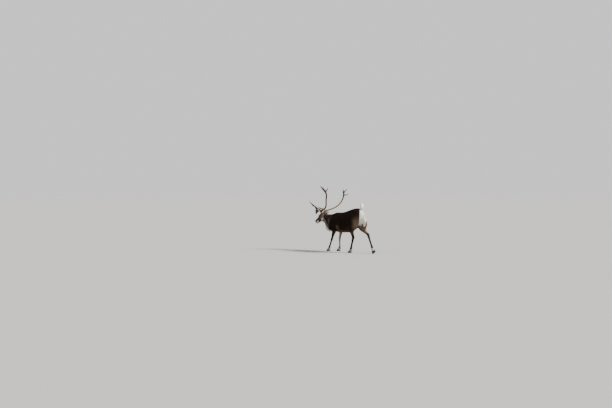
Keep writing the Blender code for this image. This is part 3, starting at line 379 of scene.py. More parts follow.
def shoulder_shells(side):
    """The shoulder blade and the point of the elbow."""
    elbow = mirrored(LEGS["fore", side]["elbow"], side)
    return [
        ball_shell((-0.425, 0.118 * side, 0.865), (0.150, 0.080, 0.225), 0.30),
        ball_shell(elbow + Vector((0.045, 0, 0.020)), (0.048, 0.036, 0.052)),
    ]


def haunch_shells(side):
    """The rump, the hamstrings from the seat bone to the calf, and the heel cord."""
    joints = LEGS["hind", side]
    stifle = mirrored(joints["stifle"], side)
    hock = mirrored(joints["hock"], side)
    heel = hock + (stifle - hock).normalized() * 0.045 + Vector((0.036, 0, 0))
    calf = stifle.lerp(hock, 0.36) + Vector((0.042, 0, 0.005))
    seat = Vector((0.520, 0.080 * side, 1.030))
    back_of_thigh = seat.lerp(calf, 0.50) + Vector((0.052, 0.008 * side, 0.010))
    hamstring = [
        (*(seat + Vector((-0.03, 0, 0.09))), 0.060, 0.060),
        (*seat, 0.086, 0.080),
        (*back_of_thigh, 0.078, 0.068),
        (*seat.lerp(calf, 0.86), 0.062, 0.050),
        (*calf, 0.046, 0.036),
        (*calf.lerp(heel, 0.6), 0.022, 0.017),
        (*heel, 0.021, 0.019),
        (*(heel + Vector((-0.012, 0, -0.045))), 0.019, 0.020),
    ]
    rump = ball_shell((0.415, 0.100 * side, 1.03), (0.180, 0.095, 0.205), -0.2)
    return [rump, limb_shell(hamstring, 16, 3)]


def head_shells():
    """The head with cheeks, chin, muzzle pads, brow and the stubs that carry the antlers."""
    shells = [
        trunk_shell(HEAD, 36, 5, 2.3),
        ball_shell((0.044, 0, -0.056), (0.040, 0.033, 0.020)),
        limb_shell([(x, 0, z, r, w) for x, z, r, w in JAW], 16, 3),
    ]
    for side in SIDES:
        shells.append(ball_shell((0.034, 0.025 * side, 0.008), (0.034, 0.030, 0.046)))
        shells.append(ball_shell((0.330, 0.047 * side, -0.042), (0.072, 0.036, 0.068)))
        eye = mirrored(EYE_AT, side)
        shells.append(ball_shell(eye + Vector((0.004, -0.016 * side, 0.004)), (0.038, 0.028, 0.030)))
        base = mirrored(PEDICLE_AT, side)
        rise = Vector((0.012, 0.012 * side, 0.045))
        foot, top = base - rise, base + rise * 0.3
        stub = [(*foot, 0.036, 0.032), (*base, 0.028, 0.027), (*top, 0.026, 0.025)]
        shells.append(limb_shell(stub, 18, 4))
    shells = [moved(shell, head_to_body()) for shell in shells]
    for side in SIDES:
        stump = mirrored(BURR_AT, side) + Vector((-0.003, -0.003 * side, -0.012))
        shells.append(ball_shell(stump, (0.026,) * 3))
    return shells


def mane_core():
    """The dense hair under the neck, out to a share of the way from the flesh to the tips."""
    rows = []
    for x, flesh, tips, width in MANE:
        bottom = flesh + (tips - flesh) * MANE_CORE_SHARE
        top = flesh + MANE_ROOT_DEPTH
        rows.append((x, 0.0, (top + bottom) / 2, (top - bottom) / 2, width))
    return limb_shell(rows, 20, 3)


def body_shells():
    """Every rounded form that the skin is made of."""
    shells = [trunk_shell(TORSO, 40, 4, 2.2), limb_shell(NECK, 32, 4)]
    shells += [limb_shell(TAIL, 16, 4), mane_core()]
    for kind, side in LEGS:
        shells.append(limb_shell(leg_path(kind, side), 22, 4))
        shells += shoulder_shells(side) if kind == "fore" else haunch_shells(side)
    return shells + head_shells()


# Mesh helpers
def select_only(obj):
    """Nothing is selected but this object, which is active."""
    bpy.ops.object.select_all(action="DESELECT")
    obj.select_set(True)
    bpy.context.view_layer.objects.active = obj


@contextmanager
def edited(obj):
    """The object's mesh, open for editing and written back afterwards."""
    work = bmesh.new()
    work.from_mesh(obj.data)
    yield work
    work.to_mesh(obj.data)
    work.free()


def in_scene(name, data):
    """A new object of this mesh, lamp or camera in the scene."""
    obj = bpy.data.objects.new(name, data)
    bpy.context.scene.collection.objects.link(obj)
    return obj


def object_of(name, shells):
    """One mesh object of closed shells, facing out."""
    obj = in_scene(name, bpy.data.meshes.new(name))
    with edited(obj) as work:
        for points, faces in shells:
            verts = [work.verts.new(p) for p in points]
            for face in faces:
                work.faces.new([verts[i] for i in face])
        bmesh.ops.recalc_face_normals(work, faces=work.faces)
    return obj


def modified(obj, kind, **settings):
    """Adds a modifier with these settings and applies it, as from the menu."""
    step = obj.modifiers.new(kind.lower(), kind)
    for key, value in settings.items():
        setattr(step, key, value)
    select_only(obj)
    bpy.ops.object.modifier_apply(modifier=step.name)


def fused(name, shells, voxel):
    """Overlapping shells as one even mesh."""
    obj = object_of(name, shells)
    modified(obj, "REMESH", mode="VOXEL", voxel_size=voxel)
    return obj


def combined(obj, operation, other):
    """One closed surface of two by this operation, and the other object goes."""
    modified(obj, "BOOLEAN", operation=operation, solver="MANIFOLD", object=other)
    bpy.data.objects.remove(other)


def without_crumbs(obj):
    """Removes the small loose bits that a remesh leaves beyond thin tips."""
    with edited(obj) as work:
        unseen = set(work.verts)
        islands = []
        while unseen:
            island = [unseen.pop()]
            for vert in island:
                for edge in vert.link_edges:
                    other = edge.other_vert(vert)
                    if other in unseen:
                        unseen.discard(other)
                        island.append(other)
            islands.append(island)
        islands.sort(key=len)
        for island in islands[:-1]:
            bmesh.ops.delete(work, geom=island, context="VERTS")


def cut_by_plane(obj, point, normal):
    """Cuts away what lies on the normal's side, and closes the cut."""
    with edited(obj) as work:
        whole = work.verts[:] + work.edges[:] + work.faces[:]
        cut = bmesh.ops.bisect_plane(work, geom=whole, plane_co=point, plane_no=normal, clear_outer=True)
        edges = [e for e in cut["geom_cut"] if isinstance(e, bmesh.types.BMEdge)]
        bmesh.ops.holes_fill(work, edges=edges)


def read(items, field, width, kind=np.float32):
    """One property of all these parts of a mesh, as rows of this many numbers."""
    out = np.empty(len(items) * width, kind)
    items.foreach_get(field, out)
    return out.reshape(-1, width)


def write(items, field, values, kind=np.float32):
    """Writes one property of all these parts of a mesh."""
    items.foreach_set(field, values.astype(kind).ravel())


def places(mesh):
    """The points of a mesh as an array."""
    return read(mesh.vertices, "co", 3).astype(np.float64)


def place_all(mesh, co):
    """Writes an array back as the points of a mesh."""
    write(mesh.vertices, "co", co)
    mesh.update()


def normals_of(mesh):
    """The normals at the points of a mesh."""
    return read(mesh.vertex_normals, "vector", 3).astype(np.float64)


def colour_points(mesh, name, colour):
    """Writes a colour for each point of a mesh."""
    layer = mesh.color_attributes.new(name, "FLOAT_COLOR", "POINT")
    write(layer.data, "color", np.column_stack([colour, np.ones(len(colour))]))


def far_from(co, spot):
    """How far places are from a spot."""
    return np.linalg.norm(co - np.array(spot), axis=1)


def relax(obj, rounds, weight):
    """Smooths a mesh by neighbour averages. weight is each point's share, from 0 to 1."""
    mesh = obj.data
    co = places(mesh)
    a, b = read(mesh.edges, "vertices", 2, np.int32).T
    degree = np.bincount(np.concatenate([a, b]), minlength=len(co))[:, None]
    weight = np.broadcast_to(weight, len(co))[:, None]
    for _ in range(rounds):
        total = np.zeros_like(co)
        for i in range(3):
            total[:, i] += np.bincount(a, weights=co[b, i], minlength=len(co))
            total[:, i] += np.bincount(b, weights=co[a, i], minlength=len(co))
        co = co + weight * (total / degree - co)
    place_all(mesh, co)


def unit(rows):
    """Each row scaled to length 1."""
    return rows / np.linalg.norm(rows, axis=1)[:, None]


def ramp(value, start, end):
    """0 before start, 1 after end, smooth between."""
    t = np.clip((value - start) / (end - start), 0, 1)
    return t * t * (3 - 2 * t)


def finer(obj, inside):
    """Splits each face whose points are all inside in four."""
    flags = inside(places(obj.data))
    with edited(obj) as work:
        work.verts.ensure_lookup_table()
        edges = [e for e in work.edges if flags[e.verts[0].index] and flags[e.verts[1].index]]
        bmesh.ops.subdivide_edges(work, edges=edges, cuts=1, use_grid_fill=True)


# Colours
def linear(code):
    """An sRGB hex colour as linear light."""
    out = []
    for i in (0, 2, 4):
        value = int(code[i + 1 : i + 3], 16) / 255
        out.append(value / 12.92 if value <= 0.04045 else ((value + 0.055) / 1.055) ** 2.4)
    return np.array(out)


CHOCOLATE = linear("#211610")
SADDLE = linear("#2a1d17")
UMBER = linear("#46342a")
FAWN = linear("#86705c")
ASH = linear("#968c81")
CREAM = linear("#ddd4c4")
WHITE = linear("#f6f2ea")
OLIVE = linear("#57462f")
SOOT = linear("#191210")


def in_head(co):
    """Places in the head's frame."""
    back = np.array(head_to_body().inverted())
    return co @ back[:3, :3].T + back[:3, 3]


def patch(co, centre, radii, soft=0.35):
    """1 inside an ellipsoid and 0 outside, over a soft rim. The sides are alike."""
    spot = np.column_stack([co[:, 0], np.abs(co[:, 1]), co[:, 2]])
    far = np.sqrt((((spot - np.array(centre)) / np.array(radii)) ** 2).sum(axis=1))
    return 1 - ramp(far, 1 - soft, 1 + soft)


def painted(colour, share, other):
    """Mixes another colour in by a share for each point."""
    return colour + (np.array(other) - colour) * share[:, None]


def wander(co, size, seed):
    """Smooth noise from -1 to 1 with features of about this size."""
    turn = np.random.default_rng(seed)
    out = np.zeros(len(co))
    for _ in range(6):
        direction = turn.normal(size=3)
        direction *= 2 * math.pi / size / np.linalg.norm(direction) * turn.uniform(0.6, 1.5)
        out += np.sin(co @ direction + turn.uniform(0, 6.3))
    return out / 3.4


def markings(co):
    """The coat's colour at each place, the same for skin and hair."""
    colour = np.tile(CHOCOLATE, (len(co), 1))

    def paint(share, other):
        colour[:] = painted(colour, share, other)

    wavy = wander(co, 0.16, 1)
    x, y, z = co.T
    side = np.abs(y)
    paint(ramp(z + 0.02 * wavy, 0.98, 1.14) * 0.6, SADDLE)
    # belly, flank folds and armpit
    paint(patch(co, (0.02, 0.10, 0.580), (0.42, 0.21, 0.090)) * 0.85, OLIVE)
    elbow = patch(co, (-0.225, 0.20, 0.705), (0.060, 0.12, 0.090), 0.75) * (0.85 + 0.30 * wavy)
    paint(np.clip(elbow, 0, 1) * 0.40, FAWN)
    paint(patch(co, (0.17, 0.19, 0.66), (0.12, 0.12, 0.10), 0.5) * 0.35, UMBER)
    # hams
    ham = ramp(x + 0.015 * wavy, 0.31, 0.50) * ramp(z, 0.52, 0.66) * ramp(-z, -1.16, -0.82)
    paint(ham * 0.88, FAWN)
    # rump, inside of the hams and tail
    edge = 0.488 + 0.95 * side + 0.006 * wavy
    width = 0.090 + 0.055 * ramp(z, 0.82, 1.06)
    rump = ramp(x - edge, -0.005, 0.010) * ramp(width - side, -0.008, 0.008)
    rump *= ramp(z + 0.02 * wavy, 0.75, 0.82)
    inner = ramp(x, 0.40, 0.50) * ramp(-side, -0.080, -0.055)
    inner *= ramp(z, 0.66, 0.74) * ramp(-z, -1.20, -0.95)
    paint(np.maximum(rump, inner * 0.9), WHITE)
    paint(tail_share(co), WHITE)
    # neck: a grey band down its side, then dark, then the white mane
    neck = ramp(-x, 0.42, 0.62) * ramp(z, 0.50, 0.60)
    paint(neck * ramp(z, 0.86, 1.02) * 0.75, UMBER)
    paint(patch(co, (-0.62, 0.13, 0.88), (0.05, 0.06, 0.09), 0.6) * 0.40, ASH)
    fall = (z - 0.84) - 0.90 * (-x - 0.70) + 0.012 * wavy
    band = (1 - ramp(np.abs(fall + 0.067), 0.022, 0.060)) * ramp(-x, 0.60, 0.68)
    paint(band * neck * 0.80, ASH)
    between = ramp(-fall, 0.085, 0.12) * neck * ramp(-x, 0.52, 0.60)
    paint(between * 0.45, UMBER)
    mane = ramp(-fall, 0.125, 0.185) * ramp(-x, 0.570, 0.640)
    mane = mane * ramp(x, -1.02, -0.90) * ramp(z, 0.50, 0.54)
    paint(mane, WHITE)
    # head
    h = in_head(co)
    head = ramp(-x, 0.90, 0.98) * ramp(z, 0.70, 0.78)
    paint(head * 0.65, UMBER)
    paint(head * ramp(h[:, 2], 0.01, 0.06) * 0.7, CHOCOLATE)
    cheek = 1 - ramp(np.abs(h[:, 0] - 0.335), 0.03, 0.12)
    cheek *= 1 - ramp(np.abs(h[:, 2] + 0.050), 0.025, 0.08)
    paint(cheek * head * 0.28, ASH)
    paint(patch(h, (0.345, 0.050, -0.095), (0.050, 0.08, 0.030), 0.5) * head * 0.80, CREAM)
    paint(head * ramp(-h[:, 2], 0.078, 0.105) * ramp(h[:, 0], 0.10, 0.16) * 0.45, CREAM)
    corner = patch(h, (0.096, 0.040, -0.041), (0.046, 0.06, 0.024), 0.45)
    paint(corner * head * 0.80, CREAM)
    chin = head * ramp(-h[:, 0], -0.110, -0.080) * ramp(-h[:, 2] - 0.10 * h[:, 0], 0.020, 0.034)
    paint(chin * 0.60, CREAM)
    paint((1 - ramp(mouth_gap(h), 0.0022, 0.0048)) * head * 0.90, SOOT)
    eye = patch(h, EYE_AT, (0.048, 0.06, 0.034), 0.35) * head
    paint(eye * 0.40, FAWN)
    tear = patch(h, (EYE_AT[0] - 0.026, EYE_AT[1], EYE_AT[2] - 0.010), (0.013, 0.03, 0.005), 0.3) * head
    rim = np.zeros(len(co))
    for eye_side in SIDES:
        spot, almond = almond_at(co, eye_side)
        near = (spot[:, 1] > 0) & (np.abs(h[:, 0] - EYE_AT[0]) < 0.05)
        rim = np.maximum(rim, (1 - ramp(almond, 1.42, 1.62)) * near)
        rim = np.maximum(rim, nostril_depth(h, eye_side) > 0.25)
    paint(np.maximum(rim * (h[:, 0] < 0.33), tear) * (x < -0.90), SOOT)
    ear = ear_share(co)
    paint(ear * 0.62, ASH)
    paint(ear * ear_hollow(co) * 0.75, CREAM)
    # legs: dark, paler inside, with a pale ring over the hooves
    leg = ramp(-z, -0.60, -0.52)
    paint(ramp(-z, -0.56, -0.44) * (x > 0.30) * 0.65, CHOCOLATE)
    inside = ramp(-side, -0.128, -0.104)
    paint(leg * inside * ramp(z, 0.10, 0.20) * (0.18 + 0.52 * (x < 0.0)), FAWN)
    paint(leg * inside * ramp(z, 0.10, 0.20) * 0.45 * (x < 0.0), CREAM)
    paint(ramp(-z, -0.118, -0.092) * 0.85, CREAM)
    trailing = ramp(x, 0.75, 0.80)
    paint(trailing * ramp(-z, -0.175, -0.145) * 0.85, CREAM)
    shade = 1 + 0.10 * wander(co, 0.045, 2) + 0.08 * wander(co, 0.018, 3)
    return np.clip(colour * shade[:, None], 0.002, 1.0)


# How the coat grows: length, width, depth of each tuft and how many there are on a square metre
TRUNK_COAT = (0.034, 0.0034, 0.0085, 98000)
RUMP_COAT = (0.034, 0.0033, 0.0080, 102000)
BELLY_COAT = (0.040, 0.0038, 0.0095, 75000)
NECK_COAT = (0.052, 0.0039, 0.0130, 80000)
THROAT_COAT = (0.036, 0.0031, 0.0070, 100000)
HEAD_COAT = (0.0135, 0.0021, 0.0029, 150000)
FACE_COAT = (0.0080, 0.0015, 0.0015, 240000)
LIP_COAT = (0.0050, 0.0012, 0.0010, 330000)
LID_COAT = (0.0048, 0.0013, 0.0017, 330000)
THIGH_COAT = (0.026, 0.0031, 0.0055, 95000)
SHANK_COAT = (0.014, 0.0022, 0.0026, 132000)
FOOT_COAT = (0.013, 0.0020, 0.0024, 150000)
TAIL_COAT = (0.064, 0.0050, 0.0200, 380000)
EAR_COAT = (0.010, 0.0018, 0.0018, 165000)

# How deep the skin lies under the coat's outside, as a share of the tufts' depth
HAIR_ROOT_DEPTH = 0.92
TAIL_ROOT_DEPTH = 0.10


def tail_share(co):
    """1 on the raised tail and 0 on the croup."""
    return ramp(co[:, 2], 1.262, 1.282) * ramp(co[:, 0], 0.525, 0.540)


def head_share(co, h):
    """1 on the head and 0 on the neck, from places in the body's and in the head's frame."""
    return ramp(-h[:, 0], -0.46, -0.38) * ramp(-co[:, 0], 0.86, 0.93)


def ear_share(co):
    """1 on the ears and 0 on the head."""
    share = np.zeros(len(co))
    for side in SIDES:
        root = np.array(head_to_body() @ mirrored(EAR_AT, side))
        along = np.array(mirrored(EAR_AXIS, side).normalized())
        reach = (co - root) @ along
        off = np.linalg.norm(co - root - reach[:, None] * along, axis=1)
        near = (off < 0.048) * (reach < EAR_LENGTH + 0.02)
        share = np.maximum(share, ramp(reach, 0.012, 0.030) * near)
    return share


def coat_at(co):
    """Length, width, depth and count of the tufts at each place."""
    x, y, z = co.T
    side = np.abs(y)
    h = in_head(co)
    out = np.tile(np.array(TRUNK_COAT, float), (len(co), 1))

    def put(share, coat):
        out[:] = out + (np.array(coat) - out) * share[:, None]

    put(ramp(x, 0.42, 0.52) * ramp(z, 0.75, 0.85), RUMP_COAT)
    put(ramp(-z, -0.66, -0.60) * ramp(-x, -0.25, -0.20) * ramp(x, -0.45, -0.35), BELLY_COAT)
    put(ramp(-x, 0.46, 0.60) * ramp(z, 0.60, 0.70), NECK_COAT)
    limb = np.maximum(ramp(-z, -0.66, -0.56) * ((side > 0.07) | (x > 0.35)), 0)
    put(limb, THIGH_COAT)
    put(ramp(-z, -0.50, -0.40), SHANK_COAT)
    put(ramp(-z, -0.16, -0.10), FOOT_COAT)
    head = head_share(co, h) * ramp(z, 0.70, 0.78)
    put(head, HEAD_COAT)
    put(head * ramp(h[:, 0], 0.28, 0.40) * ramp(-h[:, 2], 0.045, 0.090), THROAT_COAT)
    put(ramp(-h[:, 0], -0.25, -0.13) * ramp(-x, 0.86, 0.93), FACE_COAT)
    put(1 - ramp(almonds(co, 0.045), 1.7, 3.0), LID_COAT)
    put(1 - ramp(mouth_gap(h), 0.007, 0.016), LIP_COAT)
    put(tail_share(co), TAIL_COAT)
    put(ear_share(co), EAR_COAT)
    return out.T


def lie_at(co, normal):
    """The way the hair points at each place, along the skin."""
    x, y, z = co.T
    out = np.tile(np.array((0.85, 0.0, -0.35)), (len(co), 1))

    def turn(share, direction):
        direction = np.array(direction, float)
        if direction.ndim == 1:
            direction = direction / np.linalg.norm(direction)
        out[:] = out + (direction - out) * share[:, None]

    turn(np.abs(normal[:, 1]) * 0.6, (0.50, 0.0, -0.85))
    turn(ramp(-z, -0.70, -0.60), (0.85, 0.0, -0.30))
    turn(ramp(x, 0.44, 0.56) * ramp(z, 0.60, 0.75), (0.20, 0.0, -1.0))
    turn(ramp(-x, 0.44, 0.60) * ramp(z, 0.62, 0.75), (0.62, 0.0, -0.75))
    turn(ramp(z, 1.02, 1.10) * ramp(-x, 0.50, 0.60), (0.95, 0.0, -0.20))
    turn(ramp(-z, -0.58, -0.48) * (np.abs(y) > 0.06), (0.22, 0.0, -1.0))
    h = in_head(co)
    head = head_share(co, h)
    turn(head, (math.cos(HEAD_PITCH), 0.0, math.sin(HEAD_PITCH)))
    turn(head * ramp(-h[:, 2], 0.0, 0.08) * 0.7, (0.90, 0.0, -0.35))
    for side in SIDES:
        turn(ear_share(co) * (y * side > 0), mirrored(EAR_AXIS, side))
    out += 0.10 * np.column_stack([wander(co, 0.11, k) for k in (21, 22, 23)])
    tail = tail_share(co)
    turn(tail, (0.05, 0.0, 1.0))
    out += normal * (0.16 * tail)[:, None]
    out -= normal * ((out * normal).sum(axis=1) * (1 - tail))[:, None]
    return out / np.maximum(np.linalg.norm(out, axis=1), 1e-6)[:, None]


# The skin
def body_softness(co):
    """How strongly each place is smoothed: the trunk most, little on the legs, head and tail."""
    trunk = np.clip((co[:, 2] - 0.60) / 0.15, 0, 1)
    head = np.clip((co[:, 0] + 0.98) / 0.10, 0, 1)
    tail = np.clip((1.31 - co[:, 2]) / 0.05, 0, 1)
    return 0.10 + 0.65 * trunk * head * tail


def eye_frame(side):
    """The eye's frame: its Y axis looks out of the head and X runs along the lids."""
    out = mirrored(EYE_AXIS, side).normalized()
    turn = Vector((0, 1, 0)).rotation_difference(out).to_matrix().to_4x4()
    lids = Matrix.Rotation(math.radians(-12), 4, "Y")
    return head_to_body() @ Matrix.Translation(mirrored(EYE_AT, side)) @ turn @ lids


def almond_at(co, side):
    """Places in the eye's frame, and how far they are from its middle in almonds of the opening."""
    frame_of_eye = np.array(eye_frame(side))
    spot = (co - frame_of_eye[:3, 3]) @ frame_of_eye[:3, :3]
    far = np.maximum(np.linalg.norm(spot, axis=1), 1e-6)
    lid = spot / far[:, None] * LID_RADIUS
    high = EYE_OPENING[1] * (1 - 0.45 * np.clip(np.abs(lid[:, 0]) / EYE_OPENING[0], 0, 1) ** 2)
    return spot, np.sqrt((lid[:, 0] / EYE_OPENING[0]) ** 2 + (lid[:, 2] / high) ** 2)


def almonds(co, reach):
    """How many almonds places are from the middle of an eye, and FAR beyond this reach."""
    out = np.full(len(co), FAR)
    for side in SIDES:
        spot, almond = almond_at(co, side)
        near = (spot[:, 1] > 0) & (np.linalg.norm(spot, axis=1) < reach)
        out[near] = almond[near]
    return out


def shaped_lids(co):
    """Lids that wrap the eyeball round an almond opening, the upper one thicker."""
    for side in SIDES:
        frame_of_eye = np.array(eye_frame(side))
        spot, almond = almond_at(co, side)
        far = np.linalg.norm(spot, axis=1)
        near = (spot[:, 1] > 0) & (far < 0.050)
        lid = LID_RADIUS - 0.0070 * (1 - ramp(almond, 0.90, 1.10))
        upper = ramp(spot[:, 2], -0.002, 0.006)
        rim = (0.0008 + 0.0014 * upper) * np.exp(-(((almond - 1.32) / 0.24) ** 2))
        fold = 0.0012 * upper * np.exp(-(((almond - 1.85) / 0.16) ** 2))
        blend = (1 - ramp(far - 0.4 * np.abs(spot[:, 0]), 0.024, 0.034)) * near
        blend = np.where(almond < 1.20, near * 1.0, blend)
        wanted = spot / far[:, None] * (lid + rim - fold)[:, None]
        spot = spot + (wanted - spot) * blend[:, None]
        co = spot @ frame_of_eye[:3, :3].T + frame_of_eye[:3, 3]
    return co


# Bones and hollows of the head: place in the head's frame, reach along each axis, height
FACE_FORMS = (
    ((0.262, 0.058, 0.074), (0.034, 0.022, 0.012), 0.0042),
    ((0.190, 0.052, 0.026), (0.050, 0.030, 0.018), -0.0042),
    ((0.240, 0.066, -0.012), (0.055, 0.022, 0.011), 0.0030),
    ((0.270, 0.060, -0.068), (0.060, 0.030, 0.018), -0.0036),
    ((0.326, 0.066, 0.058), (0.024, 0.022, 0.020), -0.0040),
    ((0.100, 0.045, -0.004), (0.034, 0.030, 0.016), -0.0026),
    ((0.024, 0.042, 0.022), (0.016, 0.016, 0.014), 0.0026),
    ((0.140, 0.000, 0.066), (0.080, 0.016, 0.030), 0.0020),
    ((0.244, 0.064, 0.034), (0.014, 0.020, 0.007), -0.0034),
)


def shaped_face(co, normal):
    """Brow, cheek bone, jaw and hollows of the face."""
    h = in_head(co)
    h[:, 1] = np.abs(h[:, 1])
    lift = np.zeros(len(co))
    for centre, reach, height in FACE_FORMS:
        lift += height * np.exp(-(((h - np.array(centre)) / np.array(reach)) ** 2).sum(axis=1))
    return co + normal * lift[:, None]


def shaped_rump(co, normal):
    """The furrow under the tail, between the seat bones and the hams."""
    furrow = np.exp(-((co[:, 1] / 0.020) ** 2)) * ramp(co[:, 0], 0.44, 0.54)
    furrow *= ramp(co[:, 2], 0.70, 0.84) * ramp(-co[:, 2], -1.235, -1.13)
    return co - normal * (0.020 * furrow)[:, None]


def nostril_depth(h, side):
    """1 in the middle of a nostril, a bent slit on the side of the nose, and 0 away from it."""
    spot = h - np.array(mirrored(NOSTRIL_AT, side))
    turn = math.radians(-40 * side)
    along = spot[:, 0] * math.cos(turn) + spot[:, 1] * math.sin(turn)
    rise = spot[:, 2] - 0.30 * along - 22.0 * along**2
    return np.exp(-((along / 0.0110) ** 2) - (rise / 0.0048) ** 2) * (h[:, 1] * side > 0.006)


def shaped_muzzle(co, normal):
    """Nostrils, the line of the mouth and lips on either side of it."""
    h = in_head(co)
    for side in SIDES:
        pit = nostril_depth(h, side)
        rim = np.exp(-((pit - 0.12) ** 2) / 0.01)
        co = co - normal * (0.0110 * pit)[:, None] + normal * (0.0016 * rim)[:, None]
    near = mouth_gap(h)
    groove = np.exp(-((near / 0.0026) ** 2))
    lip = np.exp(-(((near - 0.0065) / 0.0034) ** 2))
    return co - normal * (0.0060 * groove)[:, None] + normal * (0.0018 * lip)[:, None]


def mouth_gap(h):
    """How far places in the head's frame are from the line of the mouth, along the skin."""
    back = h[:, 0] - MOUTH_MIDDLE[0]
    angle = np.arctan2(np.abs(h[:, 1]), -back)
    height = MOUTH_MIDDLE[1] - 0.006 * (1 - np.cos(angle)) + 0.003 * np.sin(angle) ** 2
    return np.hypot(h[:, 2] - height, np.maximum(angle - MOUTH_CORNER_ANGLE, 0) * 0.05)


# Ear outline: share of the length, half width, half depth, and the same for its hollow
EAR_OUTSIDE = (
    (-0.22, 0.018, 0.018),
    (0.00, 0.019, 0.018),
    (0.22, 0.028, 0.021),
    (0.50, 0.034, 0.020),
    (0.78, 0.026, 0.014),
    (0.94, 0.013, 0.009),
    (1.00, 0.004, 0.004),
)
EAR_HOLLOW = (
    (0.06, 0.004, 0.006),
    (0.25, 0.021, 0.021),
    (0.50, 0.028, 0.022),
    (0.78, 0.021, 0.016),
    (0.93, 0.008, 0.010),
)

# How far the hollow is set towards the ear's mouth, and how far the ear's tip bends away from it
EAR_HOLLOW_SHIFT = 0.010
EAR_BEND = 0.012


def ear_axes(side):
    """The root of an ear, the way it points, the way its mouth faces and the way across."""
    along = mirrored(EAR_AXIS, side).normalized()
    mouth = mirrored(EAR_MOUTH, side)
    mouth = (mouth - along * mouth.dot(along)).normalized()
    return head_to_body() @ mirrored(EAR_AT, side), along, mouth, along.cross(mouth)


def ear_hollow(co):
    """1 in the cups of the ears and 0 on their backs."""
    share = np.zeros(len(co))
    shares, widths, depths = np.array(EAR_HOLLOW).T
    for side in SIDES:
        root, along, mouth, across = ear_axes(side)
        spot = co - np.array(root)
        reach = spot @ np.array(along) / EAR_LENGTH
        deep = spot @ np.array(mouth) - EAR_HOLLOW_SHIFT + EAR_BEND * reach**2
        wide = spot @ np.array(across) / np.interp(reach, shares, widths)
        far = np.hypot(wide, deep / np.interp(reach, shares, depths))
        share = np.maximum(share, 1 - ramp(far, 0.95, 1.20))
    return share


def leaf_ear(side):
    """A cupped ear laid back, its mouth turned out."""
    root, along, mouth, across = ear_axes(side)

    def shell(rows, shift):
        rings = []
        for share, width, depth in smoothed_rows(rows, 5):
            middle = root + along * (share * EAR_LENGTH) + mouth * (shift - EAR_BEND * share * share)
            rings.append([middle + across * y + mouth * z for y, z in oval(width, depth, depth, 24)])
        return stacked(rings)

    ear = object_of("ear", [shell(EAR_OUTSIDE, 0.0)])
    combined(ear, "DIFFERENCE", object_of("hollow", [shell(EAR_HOLLOW, EAR_HOLLOW_SHIFT)]))
    modified(ear, "REMESH", mode="VOXEL", voxel_size=EAR_VOXEL)
    relax(ear, 3, 0.4)
    return ear


def foot_to_body(kind, side):
    """The foot's frame: its origin in the middle of the coronet, the toe towards -X."""
    tilt = TRAILING_HOOF_TILT if (kind, side) == ("hind", RIGHT) else 0.0
    middle = mirrored(LEGS[kind, side]["coronet"], side)
    return Matrix.Translation(middle) @ Matrix.Rotation(-tilt, 4, "Y")


def past_coronet(co, kind, side):
    """How far places are past the hooves' upper plane and from its middle, and its normal."""
    foot = foot_to_body(kind, side)
    middle = foot @ Vector((0, 0, CORONET_LEVEL))
    normal = np.array(foot.to_3x3() @ Vector((-CORONET_FALL, 0, -1)).normalized())
    return (co - np.array(middle)) @ normal, far_from(co, middle), normal


def near_features(co, mouth_reach, eye_reach):
    """Whether places are near to the mouth, a nostril or an eye."""
    h = in_head(co)
    near = (mouth_gap(h) < mouth_reach) | near_eyes(co, eye_reach)
    for side in SIDES:
        near |= far_from(h, mirrored(NOSTRIL_AT, side)) < 0.018
    return near


def near_lids(co):
    """Whether places are on the edges of the lids."""
    almond = almonds(co, 0.032)
    return (almond > 0.75) & (almond < 1.7)


def near_eyes(co, reach):
    """Whether places are this near to the middle of an eye."""
    h = in_head(co)
    h[:, 1] = np.abs(h[:, 1])
    return far_from(h, EYE_AT) < reach


